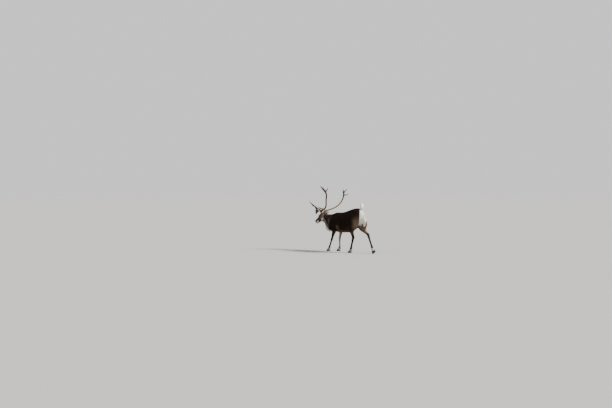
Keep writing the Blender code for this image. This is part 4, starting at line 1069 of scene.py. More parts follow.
def whole_skin():
    """The animal's skin in one piece, set in from the coat's outside by the depth of the hair."""
    skin = fused("skin", body_shells(), SKIN_VOXEL)
    relax(skin, 24, body_softness(places(skin.data)))
    # the feet end flat over the hooves
    for kind, side in LEGS:
        co = places(skin.data)
        below, far, normal = past_coronet(co, kind, side)
        place_all(skin.data, co - np.where((far < 0.16) & (below > 0), below, 0)[:, None] * normal)
    # smaller faces on the head, and again on the muzzle and round the eyes
    finer(skin, lambda co: (in_head(co)[:, 0] < 0.43) & (co[:, 0] < -0.86) & (co[:, 2] > 0.74))
    finer(skin, lambda co: (co[:, 0] < -0.86) & ((in_head(co)[:, 0] < 0.105) | near_eyes(co, 0.042)))
    # the head is drawn onto an evenly fine form of its own, with a soft change to the neck
    target = fused("head form", head_shells() + [limb_shell(NECK[-4:], 28, 4)], HEAD_VOXEL)
    relax(target, 26, 0.45)
    co = places(skin.data)
    tree = BVHTree.FromObject(target, bpy.context.evaluated_depsgraph_get())
    h = in_head(co)
    share = np.maximum(ramp(-h[:, 0], -0.43, -0.33), ramp(h[:, 2], 0.078, 0.096) * (h[:, 0] < 0.45))
    share *= (co[:, 0] < -0.84) & (co[:, 2] > 0.70)
    for i in np.nonzero(share > 0)[0]:
        near = tree.find_nearest(Vector(co[i]))[0]
        co[i] += (np.array(near) - co[i]) * share[i]
    place_all(skin.data, co)
    relax(skin, 3, share * 0.4)
    bpy.data.objects.remove(target)
    # in by the depth of the coat, so that the hair ends where the solids do
    co = places(skin.data)
    depth = coat_at(co)[2] * HAIR_ROOT_DEPTH
    depth *= 1 + (TAIL_ROOT_DEPTH / HAIR_ROOT_DEPTH - 1) * tail_share(co)
    place_all(skin.data, co - normals_of(skin.data) * depth[:, None])
    relax(skin, 4, 0.35 * (share < 0.5))
    # face, nostrils, mouth and lids
    finer(skin, lambda co: (co[:, 0] < -0.86) & near_features(co, 0.009, 0.030))
    finer(skin, near_lids)
    relax(skin, 3, 0.5 * near_eyes(places(skin.data), 0.032))
    for shape in (shaped_rump, shaped_face, shaped_muzzle):
        place_all(skin.data, shape(places(skin.data), normals_of(skin.data)))
    place_all(skin.data, shaped_lids(places(skin.data)))
    for side in SIDES:
        combined(skin, "UNION", leaf_ear(side))
    # triangles without slivers, where the ears join the head too
    with edited(skin) as work:
        bmesh.ops.triangulate(work, faces=work.faces)
        bmesh.ops.dissolve_degenerate(work, dist=SLIVER, edges=work.edges)
        bmesh.ops.triangulate(work, faces=work.faces)
    return skin


# Hair
def spread(mesh, count_at):
    """Even random places on a mesh: place, normal and place on the unwrap of each."""
    mesh.calc_loop_triangles()
    corner = read(mesh.loop_triangles, "vertices", 3, np.int32)
    loops = read(mesh.loop_triangles, "loops", 3, np.int32)
    area = read(mesh.loop_triangles, "area", 1)[:, 0]
    uv = read(mesh.uv_layers.active.data, "uv", 2)
    co, normal = places(mesh), normals_of(mesh)
    wanted = np.cumsum(area * count_at(co[corner].mean(axis=1)))
    number = int(wanted[-1])
    chosen = np.searchsorted(wanted, (np.arange(number) + rng.random(number)) * wanted[-1] / number)
    chosen = np.minimum(chosen, len(corner) - 1)
    a, b = rng.random(number), rng.random(number)
    flip = a + b > 1
    a[flip], b[flip] = 1 - a[flip], 1 - b[flip]
    share = np.column_stack([1 - a - b, a, b])[:, :, None]
    root = (co[corner[chosen]] * share).sum(axis=1)
    out = (normal[corner[chosen]] * share).sum(axis=1)
    return root, unit(out), (uv[loops[chosen]] * share).sum(axis=1)


# Size of a tuft's patch on the unwrap, and how round laid tufts shade across
PATCH_SIZE = 0.003
TUFT_ROUNDNESS = 0.50


def tuft_object(name, curves, widths, thickness, outward, colours, spots, shape, laid=False):
    """Solid tapered tufts of hair in one mesh.

    curves: for each tuft the middle line, widths and thickness: its size at the root,
    outward: the side that faces away from the skin, colours: one for each ring,
    shape: the share of the width at each ring, laid: whether the tufts lie close on the skin.
    """
    number, rings = curves.shape[:2]
    body = rings - 1
    step = np.diff(curves, axis=1)
    along = np.concatenate([step[:, :1], step], axis=1)
    along /= np.maximum(np.linalg.norm(along, axis=2), 1e-9)[:, :, None]
    across = np.cross(along, outward[:, None, :])
    across /= np.maximum(np.linalg.norm(across, axis=2), 1e-9)[:, :, None]
    up = np.cross(across, along)
    size = (widths[:, None] * np.array(shape)[None, :])[:, :, None] / 2
    thick = (thickness[:, None] * np.array(shape)[None, :])[:, :, None]
    # each ring is a triangle round the middle line, with its ridge on the outside
    middle, wide, deep = curves[:, :body], (across * size)[:, :body], (up * thick)[:, :body]
    ring = [middle - wide - deep * 0.4, middle + wide - deep * 0.4, middle + deep * 0.6]
    points = np.stack(ring, axis=2).reshape(number, body * 3, 3)
    points = np.concatenate([points, curves[:, -1:]], axis=1)
    tip = body * 3
    faces = [(0, 1, 2)]
    for k in range(body - 1):
        a = k * 3
        for i in range(3):
            n = (i + 1) % 3
            faces.append((a + n, a + i, a + 3 + i))
            faces.append((a + n, a + 3 + i, a + 3 + n))
    a = (body - 1) * 3
    faces += [(a + 1, a, tip), (a + 2, a + 1, tip), (a, a + 2, tip)]
    faces = np.array(faces)
    per = tip + 1
    corners = (faces[None] + (np.arange(number) * per)[:, None, None]).reshape(-1, 3)
    mesh = bpy.data.meshes.new(name)
    mesh.vertices.add(number * per)
    write(mesh.vertices, "co", points)
    mesh.loops.add(corners.size)
    write(mesh.loops, "vertex_index", corners, np.int32)
    mesh.polygons.add(len(corners))
    write(mesh.polygons, "loop_start", np.arange(0, corners.size, 3), np.int32)
    mesh.update(calc_edges=True)
    # colour: a darker root and a paler tip, least so in white hair
    ring_of = np.append(np.repeat(np.arange(body), 3), rings - 1)
    level = ring_of / (rings - 1)
    shade = colours[:, ring_of]
    pale = shade.mean(axis=2)
    tone = 0.66 + 0.20 * pale + (0.50 - 0.30 * pale) * level[None]
    tone[:, :tip] *= np.tile((0.95, 0.95, 1.05), body)
    colour_points(mesh, "Coat", np.clip(shade * tone[:, :, None], 0, 1).reshape(-1, 3))
    # each tuft's own small patch at its root's place on the skin's unwrap
    own = np.column_stack([(np.arange(per) % 3) / 2 - 0.5, level - 0.5])
    spot = (spots[:, None, :] + own[None] * PATCH_SIZE).reshape(-1, 2)
    write(mesh.uv_layers.new(name="OFBake").data, "uv", spot[corners.ravel()])
    mesh.shade_smooth()
    if laid:
        # the hairs of a tuft shade as part of the coat, not as a blade
        lean = np.zeros((number, per, 3))
        lean[:, 0:tip:3] = -across[:, :body]
        lean[:, 1:tip:3] = across[:, :body]
        lean[:, tip] = along[:, -1] * 1.6
        shine = outward[:, None] + TUFT_ROUNDNESS * lean
        shine /= np.linalg.norm(shine, axis=2)[:, :, None]
        mesh.normals_split_custom_set_from_vertices(shine.reshape(-1, 3))
    return in_scene(name, mesh)


def bent(start, middle, end, rings):
    """Points on curves from start to end that bend towards a middle."""
    curve = []
    for t in np.linspace(0, 1, rings):
        a = start + (middle - start) * t
        b = middle + (end - middle) * t
        curve.append(a + (b - a) * t)
    return np.stack(curve, axis=1)


def coat_piece(name, root, outward, spot):
    """Tufts that rise from the skin and lie along it."""
    length, width, depth = coat_at(root)[:3]
    number = len(root)
    lie = lie_at(root, outward)
    across = np.cross(lie, outward)
    # each tuft strays a little in its direction, size and lift
    lie = lie + across * rng.normal(0, 0.13, number)[:, None]
    length = length * rng.uniform(0.75, 1.2, number)
    width = width * rng.uniform(0.75, 1.25, number)
    lift = depth * rng.uniform(0.62, 1.10, number)
    start = root - outward * (0.0010 + 0.10 * depth)[:, None] - lie * (0.10 * length)[:, None]
    end = root + outward * (0.90 * lift)[:, None] + lie * length[:, None]
    curves = np.stack([start, end], axis=1)
    clump = wander(np.round(root / 0.012) * 0.012, 0.017, 32)
    tone = rng.normal(1.0, 0.075, number) * (1 + 0.05 * clump)
    colours = np.repeat((markings(root) * tone[:, None])[:, None], 2, axis=1)
    shape = (1.0, 0.0)
    return tuft_object(name, curves, width, width * 0.40, outward, colours, spot, shape, laid=True)


def mane_tips(x):
    """The height of the mane's lowest tips along the neck."""
    rows = MANE[::-1]
    return np.interp(x, [row[0] for row in rows], [row[2] for row in rows])


# Width of a lock where it leaves the skin
MANE_LOCK_WIDTH = 0.0052


def mane_piece(name, root, outward, spot):
    """Long locks of the mane: they fall from the neck and gather in points."""
    number = len(root)
    # 1 under the neck, where the locks reach down to the mane's tips, and 0 on its sides
    low = ramp(-outward[:, 2], -0.35, 0.55) * ramp(root[:, 0], -1.00, -0.84)
    drop = np.maximum(root[:, 2] - mane_tips(root[:, 0] + 0.03), 0.03)
    clump = np.round(root / 0.030) * 0.030
    seed = wander(clump, 0.021, 31)
    hang = np.minimum(drop * 0.98 - 0.26 * np.abs(root[:, 1]), 0.19)
    side_length = 0.110 + 0.020 * seed
    length = side_length + (np.maximum(hang, 0.045) - side_length) * low
    # towards the edge of the mane the locks go over into the short coat
    edge = ramp(-root[:, 0], 0.50, 0.68) * ramp(-root[:, 2], -1.02, -0.92)
    edge *= ramp(root[:, 0], -0.99, -0.86)
    length = NECK_COAT[0] + (length - NECK_COAT[0]) * edge
    length = length * (1 + 0.09 * seed) * (1.03 - 0.30 * rng.random(number) ** 1.6)
    length *= np.where(rng.random(number) < 0.28, rng.uniform(0.40, 0.85, number), 1.0)
    side = np.sign(root[:, 1])
    # a lock hangs down and a little back, along the skin where it would else run into it
    fall = unit(np.column_stack([0.24 + 0.30 * (1 - low), 0.02 * side, -np.ones(number)]))
    off = (outward * fall).sum(axis=1)[:, None]
    along = unit(fall - outward * np.minimum(off, 0))
    start = root - outward * 0.006
    rise = 0.010 + 0.006 * rng.random(number)
    middle = root + outward * rise[:, None] + along * (0.45 * length)[:, None]
    end = root + outward * (rise * (1 - low))[:, None] + along * length[:, None]
    # the tips of a clump gather in a point
    gather = (clump - root) * 0.45 * edge[:, None]
    gather -= along * (gather * along).sum(axis=1)[:, None]
    end = end + gather + rng.normal(0, 0.007, (number, 3)) * (0.4 + edge[:, None])
    # each lock bends at its own height, or a row of bends would show
    t = rng.uniform(0.36, 0.72, number)[:, None]
    bend = start * (1 - t) ** 2 + middle * 2 * t * (1 - t) + end * t**2
    curves = np.stack([start, bend, end], axis=1)
    tone = rng.normal(1.0, 0.07, number) * (1 + 0.06 * seed)
    colours = markings(curves.reshape(-1, 3)).reshape(number, 3, 3) * tone[:, None, None]
    width = MANE_LOCK_WIDTH * rng.uniform(0.75, 1.25, number)
    return tuft_object(name, curves, width, width * 0.42, outward, colours, spot, (1.0, 0.95, 0.0))


def eyelashes(root, spot):
    """Short dark lashes along both upper lids. root and spot: places of the coat on the unwrap."""
    starts, middles, ends = [], [], []
    for side in SIDES:
        to_body = eye_frame(side)
        for t in np.linspace(-0.75, 0.90, 16):
            across = EYE_OPENING[0] * t
            high = EYE_OPENING[1] * (1 - 0.45 * t * t) * math.sqrt(1 - t * t) * 1.22
            out = Vector((across, math.sqrt((EYE_RADIUS + 0.0035) ** 2 - across**2 - high**2), high))
            sideways = across * 14 + rng.uniform(-0.22, 0.22)
            way = Vector((sideways, 1.0, rng.uniform(-0.05, 0.25))).normalized()
            grown = rng.uniform(0.7, 1.15)
            starts.append(to_body @ (out - way * 0.002))
            middles.append(to_body @ (out + way * 0.0032 * grown + Vector((0, 0, -0.0006))))
            ends.append(to_body @ (out + way * 0.0058 * grown + Vector((0, 0, -0.0030))))
    curves = bent(np.array(starts), np.array(middles), np.array(ends), 4)
    near = [np.argmin(far_from(root, start)) for start in starts]
    up = np.tile(np.array((0.0, 0.0, 1.0)), (len(starts), 1))
    size = np.full(len(starts), 0.0008)
    colours = np.tile(SOOT * 0.5, (len(starts), 4, 1))
    shape = (1.0, 0.9, 0.6, 0.0)
    return tuft_object("eyelashes", curves, size, size * 0.8, up, colours, spot[near], shape)


def unwrapped(obj):
    """Gives the mesh an unwrap without overlaps."""
    select_only(obj)
    bpy.ops.object.mode_set(mode="EDIT")
    bpy.ops.mesh.select_all(action="SELECT")
    bpy.ops.uv.smart_project(angle_limit=math.radians(70), island_margin=0.002)
    bpy.ops.object.mode_set(mode="OBJECT")


def painted_mesh(obj):
    """Writes the markings on a mesh as its colour, darker than the hair over it."""
    colour_points(obj.data, "Coat", markings(places(obj.data)) * 0.75)


# Antlers: the beam and its tines, each through rows of (x, y, z, thickness in the plane of the
# tines, thickness across) to its tip. The first row of a tine lies inside what it grows from.
ANTLERS = {
    LEFT: (
        (
            (-1.050, 0.052, 1.098, 0.010, 0.010),
            (-1.040, 0.060, 1.130, 0.016, 0.016),
            (-1.024, 0.075, 1.157, 0.0235, 0.0235),
            (-0.945, 0.115, 1.198, 0.0215, 0.021),
            (-0.840, 0.150, 1.232, 0.020, 0.020),
            (-0.735, 0.180, 1.268, 0.0205, 0.0205),
            (-0.654, 0.225, 1.354, 0.0205, 0.020),
            (-0.574, 0.300, 1.503, 0.020, 0.020),
            (-0.500, 0.355, 1.645, 0.021, 0.020),
            (-0.512, 0.378, 1.735, 0.030, 0.017),
            (-0.570, 0.378, 1.785, 0.032, 0.013),
            (-0.640, 0.375, 1.832, 0.024, 0.011),
            (-0.720, 0.368, 1.888, 0.014, 0.009),
            (-0.783, 0.360, 1.944),
        ),
        (
            (-1.030, 0.066, 1.152, 0.018, 0.015),
            (-1.100, 0.052, 1.166, 0.016, 0.013),
            (-1.170, 0.040, 1.168, 0.022, 0.009),
            (-1.228, 0.032, 1.168, 0.050, 0.009),
            (-1.280, 0.030, 1.170, 0.080, 0.008),
            (-1.308, 0.030, 1.174, 0.084, 0.006),
            (-1.326, 0.030, 1.180),
        ),
        (
            (-0.985, 0.096, 1.178, 0.017, 0.016),
            (-1.075, 0.130, 1.232, 0.0155, 0.014),
            (-1.180, 0.165, 1.296, 0.018, 0.011),
            (-1.270, 0.190, 1.352, 0.020, 0.009),
            (-1.350, 0.206, 1.415, 0.012, 0.008),
            (-1.430, 0.220, 1.508),
        ),
        (
            (-0.520, 0.376, 1.735, 0.018, 0.013),
            (-0.468, 0.376, 1.790, 0.017, 0.011),
            (-0.436, 0.370, 1.830, 0.012, 0.009),
            (-0.418, 0.365, 1.876),
        ),
        (
            (-1.280, 0.030, 1.225, 0.024, 0.006),
            (-1.325, 0.031, 1.262, 0.015, 0.006),
            (-1.402, 0.032, 1.338),
        ),
        (
            (-1.290, 0.030, 1.180, 0.018, 0.006),
            (-1.325, 0.030, 1.190, 0.012, 0.005),
            (-1.368, 0.030, 1.204),
        ),
        (
            (-1.280, 0.030, 1.130, 0.018, 0.006),
            (-1.310, 0.030, 1.118, 0.012, 0.005),
            (-1.345, 0.030, 1.106),
        ),
        (
            (-1.260, 0.030, 1.110, 0.018, 0.006),
            (-1.272, 0.030, 1.082, 0.012, 0.005),
            (-1.288, 0.030, 1.045),
        ),
        (
            (-1.225, 0.178, 1.325, 0.014, 0.008),
            (-1.275, 0.186, 1.322, 0.010, 0.007),
            (-1.335, 0.196, 1.312),
        ),
        (
            (-0.600, 0.377, 1.805, 0.016, 0.010),
            (-0.612, 0.376, 1.856, 0.010, 0.008),
            (-0.628, 0.374, 1.912),
        ),
    ),
    RIGHT: (
        (
            (-1.050, 0.052, 1.098, 0.010, 0.010),
            (-1.040, 0.060, 1.130, 0.016, 0.016),
            (-1.024, 0.075, 1.157, 0.0235, 0.0235),
            (-0.957, 0.115, 1.190, 0.0215, 0.021),
            (-0.868, 0.180, 1.225, 0.020, 0.020),
            (-0.769, 0.250, 1.276, 0.019, 0.0195),
            (-0.690, 0.305, 1.340, 0.0185, 0.019),
            (-0.615, 0.355, 1.439, 0.018, 0.019),
            (-0.571, 0.390, 1.558, 0.018, 0.018),
            (-0.548, 0.398, 1.650, 0.024, 0.016),
            (-0.550, 0.392, 1.720, 0.026, 0.013),
            (-0.562, 0.386, 1.785, 0.015, 0.010),
            (-0.572, 0.380, 1.850),
        ),
        (
            (-1.030, 0.066, 1.152, 0.017, 0.015),
            (-1.095, 0.062, 1.172, 0.014, 0.012),
            (-1.165, 0.064, 1.182, 0.012, 0.010),
            (-1.262, 0.070, 1.206),
        ),
        (
            (-0.985, 0.096, 1.178, 0.017, 0.016),
            (-1.080, 0.116, 1.206, 0.0155, 0.014),
            (-1.190, 0.128, 1.232, 0.018, 0.011),
            (-1.290, 0.124, 1.252, 0.018, 0.009),
            (-1.398, 0.104, 1.296),
        ),
        (
            (-0.549, 0.392, 1.700, 0.018, 0.013),
            (-0.490, 0.390, 1.760, 0.016, 0.011),
            (-0.425, 0.384, 1.800, 0.010, 0.008),
            (-0.388, 0.380, 1.842),
        ),
        (
            (-0.556, 0.398, 1.640, 0.017, 0.013),
            (-0.470, 0.394, 1.650, 0.013, 0.010),
            (-0.380, 0.386, 1.656, 0.010, 0.008),
            (-0.288, 0.380, 1.668),
        ),
        (
            (-1.240, 0.126, 1.238, 0.014, 0.008),
            (-1.290, 0.124, 1.226, 0.010, 0.007),
            (-1.345, 0.120, 1.200),
        ),
    ),
}

# The beams and tines are this much stouter than the solids, as the photo shows them
STOUTER = 1.09

# How far the grain runs round and along a beam for its real size, and over what length it blends
GRAIN_RADIUS = 0.020
GRAIN_STRETCH = 0.040
GRAIN_BLEND = 0.005

# Antler bone: its own brown, a darker brown that also serves as painted shade, and the pale of the tips
# that also serves as painted sunlight
BONE = linear("#46301f")
BONE_DARK = linear("#24170f")
BONE_PALE = linear("#b89f7e")


def near_line(co, line):
    """How far places are from a line, how far along it they are and the way from it."""
    nearest = np.full(len(co), FAR)
    along = np.zeros(len(co))
    way = np.zeros((len(co), 3))
    run = 0.0
    for a, b in zip(line[:-1], line[1:]):
        step = b - a
        long = np.linalg.norm(step)
        t = np.clip((co - a) @ step / long**2, 0, 1)
        gap = co - a - t[:, None] * step
        far = np.maximum(np.linalg.norm(gap, axis=1), 1e-6)
        closer = far < nearest
        nearest[closer] = far[closer]
        along[closer] = run + t[closer] * long
        way[closer] = gap[closer] / far[closer, None]
        run += long
    return nearest, along, way


def grain_along(co, pieces):
    """Where each place is along and around its beam or tine, the length shortened.

    A tine goes on from the run of the beam it grows from, so the grain flows into it.
    """
    lines = [np.array([row[:3] for row in rows] + [tip]) for rows, tip in pieces]
    starts, fars, grains = [], [], []
    for k, line in enumerate(lines):
        roots = [near_line(line[:1], other) for other in lines[:k]]
        nearest = min(range(k), key=lambda j: roots[j][0][0]) if k else 0
        starts.append(starts[nearest] + roots[nearest][1][0] if k else 0.0)
        far, along, way = near_line(co, line)
        fars.append(far)
        grains.append(way * GRAIN_RADIUS + ((starts[k] + along) * GRAIN_STRETCH)[:, None])
    fars = np.array(fars)
    weight = np.exp(-(fars - fars.min(axis=0)) / GRAIN_BLEND)
    weight /= weight.sum(axis=0)
    return (np.array(grains) * weight[:, :, None]).sum(axis=0)


def antler(side):
    """One antler, its beam, tines and points grown together, with a knobbed burr."""
    shells = []
    pieces = []
    for *rows, tip in ANTLERS[side]:
        placed = [(x, y * side, z, thick * STOUTER, across * STOUTER) for x, y, z, thick, across in rows]
        pieces.append((placed, mirrored(tip, side)))
        shells.append(limb_shell(placed, 20, 6, mirrored(tip, side)))
    centre = mirrored(BURR_AT, side)
    beam = pieces[0][0]
    axis = (Vector(beam[2][:3]) - Vector(beam[0][:3])).normalized()
    turn = Vector((0, 0, 1)).rotation_difference(axis).to_matrix()
    for a in turns(13):
        reach = BURR_RADIUS - 0.0035 + 0.0015 * math.sin(5 * a)
        knob = centre + turn @ Vector((math.cos(a), math.sin(a), 0.12 * math.sin(3 * a))) * reach
        shells.append(ball_shell(knob, (0.0082, 0.0082, 0.0072), 0, 10))
    steps = ((-0.010, 0.018), (-0.004, 0.0265), (0.004, 0.0265), (0.012, 0.020))
    shells.append(limb_shell([(*(centre + axis * h), r, r) for h, r in steps], 24, 3))
    obj = fused("antler_" + SIDE_NAMES[side], shells, ANTLER_VOXEL)
    without_crumbs(obj)
    relax(obj, 5, np.where(far_from(places(obj.data), centre) < 0.045, 0.25, 0.5))
    co = places(obj.data)
    normal = normals_of(obj.data)
    base = np.exp(-far_from(co, centre) / 0.085)
    pearls = np.maximum(wander(co, 0.012, 41), 0) * 0.0024 * base
    hollows = wander(co, 0.030, 42) * 0.0005
    co = co + normal * (pearls + hollows)[:, None]
    place_all(obj.data, co)
    far = np.min([far_from(co, tip) for rows, tip in pieces], axis=0)
    colour = np.tile(BONE, (len(co), 1))
    # painted shade: the shovel of the left antler, which hangs over the face, darker
    shaded_shovel = ramp(-co[:, 0], 1.12, 1.20) * ramp(-co[:, 2], -1.30, -1.24) * (side == LEFT)
    if side == LEFT:
        # painted shade over the whole left antler
        dark = np.full(len(co), 0.45)
    else:
        # the right antler darker towards its crown
        dark = ramp(co[:, 2], 1.45, 1.60) * 0.75
        # painted sunlight: the right antler's lower beam paler
        colour = painted(colour, 0.40 - 0.40 * ramp(co[:, 2], 1.30, 1.50), BONE_PALE)
    # darker at the base by the burr, with the painted shade of the shovel and of the left antler
    colour = painted(colour, np.max([base * 0.75, shaded_shovel * 0.85, dark], axis=0), BONE_DARK)
    colour = painted(colour, (1 - ramp(far, 0.003, 0.040)) * 0.50, BONE_PALE)
    colour_points(obj.data, "Bone", colour * (1 + 0.10 * wander(co, 0.09, 43))[:, None])
    grain = obj.data.attributes.new("Grain", "FLOAT_VECTOR", "POINT")
    write(grain.data, "vector", grain_along(co, pieces))
    return obj


# Hooves
def claw(kind, side, outer):
    """One half of a cloven hoof: a flat sole, a sloping toe and a top along the coronet."""
    away = side if outer else -side
    rings = []
    for rise in (0.0, 0.03, 0.10, 0.25, 0.45, 0.65, 0.82, 0.94, 1.0):
        toe = -CLAW_TOE + 0.034 * rise + 0.0015 * math.sin(rise * 22)
        heel = CLAW_HEEL - 0.006 * rise
        width = CLAW_WIDTH - 0.012 * rise
        middle_y = away * (CLAW_SPREAD - 0.0065 * rise)
        if rise == 0.0:
            toe += 0.002
            width -= 0.003
        if rise == 1.0:
            width -= 0.004
        ring = []
        for x, y in oval(1, 1, 1, 32, 2.5):
            spot_x = (toe + heel) / 2 + (heel - toe) / 2 * x
            inward = 0.010 * max(0.0, -x) ** 2
            spot_y = middle_y + width / 2 * y - away * inward
            top = CORONET_LEVEL + 0.001 - CORONET_FALL * spot_x
            ring.append((spot_x, spot_y, -CORONET_HEIGHT + (CORONET_HEIGHT + top) * rise))
        rings.append(ring)
    name = f"hoof_{kind}_{SIDE_NAMES[side]}_{'outer' if outer else 'inner'}"
    hoof = object_of(name + "_horn", [moved(stacked(rings), foot_to_body(kind, side))])
    if (kind, side) == ("hind", RIGHT):
        cut_by_plane(hoof, (0, 0, 0), (0, 0, -1))
    modified(hoof, "BEVEL", width=0.0012, segments=2, limit_method="ANGLE", angle_limit=math.radians(45))
    return hoof


def dewclaw_shells(kind, side):
    """Two small hooves at the back of the foot, pointing down."""
    out = []
    for away in SIDES:
        rows = [
            (0.024, 0.021 * away, 0.038, 0.009, 0.008),
            (0.036, 0.026 * away, 0.028, 0.0120, 0.0105),
            (0.046, 0.030 * away, 0.012, 0.0112, 0.0095),
            (0.0495, 0.0325 * away, -0.001, 0.0080, 0.0070),
        ]
        tip = (0.051, 0.0335 * away, -0.0065)
        out.append(moved(limb_shell(rows, 14, 5, tip), foot_to_body(kind, side)))
    return out


# Materials
def node(tree, kind, settings=(), **links):
    """Adds a node with its settings: numbered ones are inputs, and so are the links l0, l1 ..."""
    made = tree.nodes.new(kind)
    for key, value in dict(settings).items():
        if isinstance(key, int):
            made.inputs[key].default_value = value
        else:
            setattr(made, key, value)
    for name, source in links.items():
        tree.links.new(source, made.inputs[int(name[1:])])
    return made


def material(name, settings):
    """A new material with these values on its shader's own sockets."""
    made = bpy.data.materials.new(name)
    made.use_nodes = True
    shader = made.node_tree.nodes["Principled BSDF"]
    for key, value in settings.items():
        shader.inputs[key].default_value = value
    return made, made.node_tree, shader


def flat(code):
    """An sRGB hex colour as a socket takes it."""
    return (*linear(code), 1)


def hair_material():
    """Hollow deer hair: matt keratin with hardly any shine."""
    settings = {"Roughness": 0.62, "IOR": 1.45, "Specular IOR Level": 0.10}
    made, tree, shader = material("reindeer_hair", settings)
    paint = node(tree, "ShaderNodeVertexColor", {"layer_name": "Coat"})
    tree.links.new(paint.outputs["Color"], shader.inputs["Base Color"])
    return made


def skin_material():
    """Skin under short hair: fine broken streaks 1.5 mm wide in the colour and the relief."""
    settings = {"Roughness": 0.72, "Specular IOR Level": 0.15}
    made, tree, shader = material("short_haired_skin", settings)
    paint = node(tree, "ShaderNodeVertexColor", {"layer_name": "Coat"})
    spot = node(tree, "ShaderNodeTexCoord")
    streak = node(tree, "ShaderNodeMapping", l0=spot.outputs["Object"])
    streak.inputs["Scale"].default_value = (1.0, 1.0, 0.35)
    fine = node(tree, "ShaderNodeTexNoise", {2: 650.0, 3: 3.0}, l0=streak.outputs[0])
    shade = node(tree, "ShaderNodeMapRange", {3: 0.70, 4: 1.30}, l0=fine.outputs[0])
    scale = {"operation": "SCALE"}
    mixed = node(tree, "ShaderNodeVectorMath", scale, l0=paint.outputs["Color"], l3=shade.outputs[0])
    relief = node(tree, "ShaderNodeBump", {0: 0.40, 1: 0.0005}, l3=fine.outputs[0])
    tree.links.new(mixed.outputs[0], shader.inputs["Base Color"])
    tree.links.new(relief.outputs[0], shader.inputs["Normal"])
    return made


def bone_material():
    """Antler bone: brown, with pores and lengthwise grooves 4 mm wide from its old blood vessels."""
    made, tree, shader = material("antler_bone", {"Roughness": 0.62, "Specular IOR Level": 0.25})
    paint = node(tree, "ShaderNodeVertexColor", {"layer_name": "Bone"})
    grain = node(tree, "ShaderNodeAttribute", {"attribute_name": "Grain"})
    spot = node(tree, "ShaderNodeTexCoord")
    grooves = node(tree, "ShaderNodeTexNoise", {2: 240.0, 3: 2.5}, l0=grain.outputs["Vector"])
    pores = node(tree, "ShaderNodeTexNoise", {2: 520.0, 3: 2.0}, l0=spot.outputs["Object"])
    shade = node(tree, "ShaderNodeMapRange", {1: 0.30, 2: 0.68, 3: 0.70, 4: 1.28}, l0=grooves.outputs[0])
    scale = {"operation": "SCALE"}
    mixed = node(tree, "ShaderNodeVectorMath", scale, l0=paint.outputs["Color"], l3=shade.outputs[0])
    tree.links.new(mixed.outputs[0], shader.inputs["Base Color"])
    deep = node(tree, "ShaderNodeBump", {0: 0.6, 1: 0.0022}, l3=grooves.outputs[0])
    relief = node(tree, "ShaderNodeBump", {0: 0.4, 1: 0.0005}, l3=pores.outputs[0], l4=deep.outputs[0])
    tree.links.new(relief.outputs[0], shader.inputs["Normal"])
    return made


def horn_material():
    """Hoof horn: near black keratin with growth rings about 4 mm apart and a scuffed lower rim."""
    made, tree, shader = material("hoof_horn", {"Roughness": 0.50, "Specular IOR Level": 0.30})
    spot = node(tree, "ShaderNodeTexCoord")
    parts = node(tree, "ShaderNodeSeparateXYZ", l0=spot.outputs["Object"])
    warp = node(tree, "ShaderNodeTexNoise", {2: 60.0}, l0=spot.outputs["Object"])
    waves = {"bands_direction": "Z", 1: 75.0, 2: 6.0, 3: 2.0}
    rings = node(tree, "ShaderNodeTexWave", waves, l0=spot.outputs["Object"])
    scuff = node(tree, "ShaderNodeMapRange", {1: 0.0, 2: 0.022, 3: 0.85, 4: 0.06}, l0=parts.outputs[2])
    times = {"operation": "MULTIPLY"}
    broken = node(tree, "ShaderNodeMath", times, l0=scuff.outputs[0], l1=warp.outputs[0])
    colour = node(tree, "ShaderNodeMix", {"data_type": "RGBA"})
    colour.inputs["A"].default_value = flat("#17120f")
    colour.inputs["B"].default_value = flat("#75685a")
    tree.links.new(broken.outputs[0], colour.inputs["Factor"])
    tree.links.new(colour.outputs["Result"], shader.inputs["Base Color"])
    relief = node(tree, "ShaderNodeBump", {0: 0.22, 1: 0.0004}, l3=rings.outputs[1])
    tree.links.new(relief.outputs[0], shader.inputs["Normal"])
    return made


def eye_material():
    """A deer's wet eye: very dark brown round a wide dark pupil under a glossy cornea."""
    made, tree, shader = material("wet_eye", {"Roughness": 0.04, "IOR": 1.38})
    paint = node(tree, "ShaderNodeVertexColor", {"layer_name": "Iris"})
    tree.links.new(paint.outputs["Color"], shader.inputs["Base Color"])
    return made


def wears(obj, made):
    """Gives the object this material alone."""
    obj.data.materials.clear()
    obj.data.materials.append(made)


# Building
HAIR = hair_material()
SKIN = skin_material()
ANTLER_BONE = bone_material()
HOOF_HORN = horn_material()
WET_EYE = eye_material()

# Bare places: half width of the mouth's line, almonds round the eye, depth into the nostrils,
# reach of the burrs, and how far over the hooves the hair ends
BARE_MOUTH = 0.0036
BARE_LIDS = 1.50
BARE_NOSTRIL = 0.30
BARE_BURR = 0.024
BARE_HOOF = 0.003

# Where the pieces of the coat end: along X, and for the face in the head's frame
SHOULDER_END = -0.12
RUMP_START = 0.30
FACE_END = 0.20


def settle(obj, made):
    """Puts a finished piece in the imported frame, on its body, with its material."""
    obj.data.transform(TO_FRAME)
    obj.data.update()
    wears(obj, made)
    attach(obj, "root")


def hairy(co):
    """Whether hair grows at each place: not on eyes, nostrils, mouth line, burrs and hooves."""
    h = in_head(co)
    keep = (mouth_gap(h) > BARE_MOUTH) & (almonds(co, 0.040) >= BARE_LIDS)
    for side in SIDES:
        keep &= nostril_depth(h, side) < BARE_NOSTRIL
        keep &= far_from(co, mirrored(BURR_AT, side)) > BARE_BURR
    for kind, side in LEGS:
        under, far = past_coronet(co, kind, side)[:2]
        keep &= ~((under > -BARE_HOOF) & (far < 0.10))
    return keep


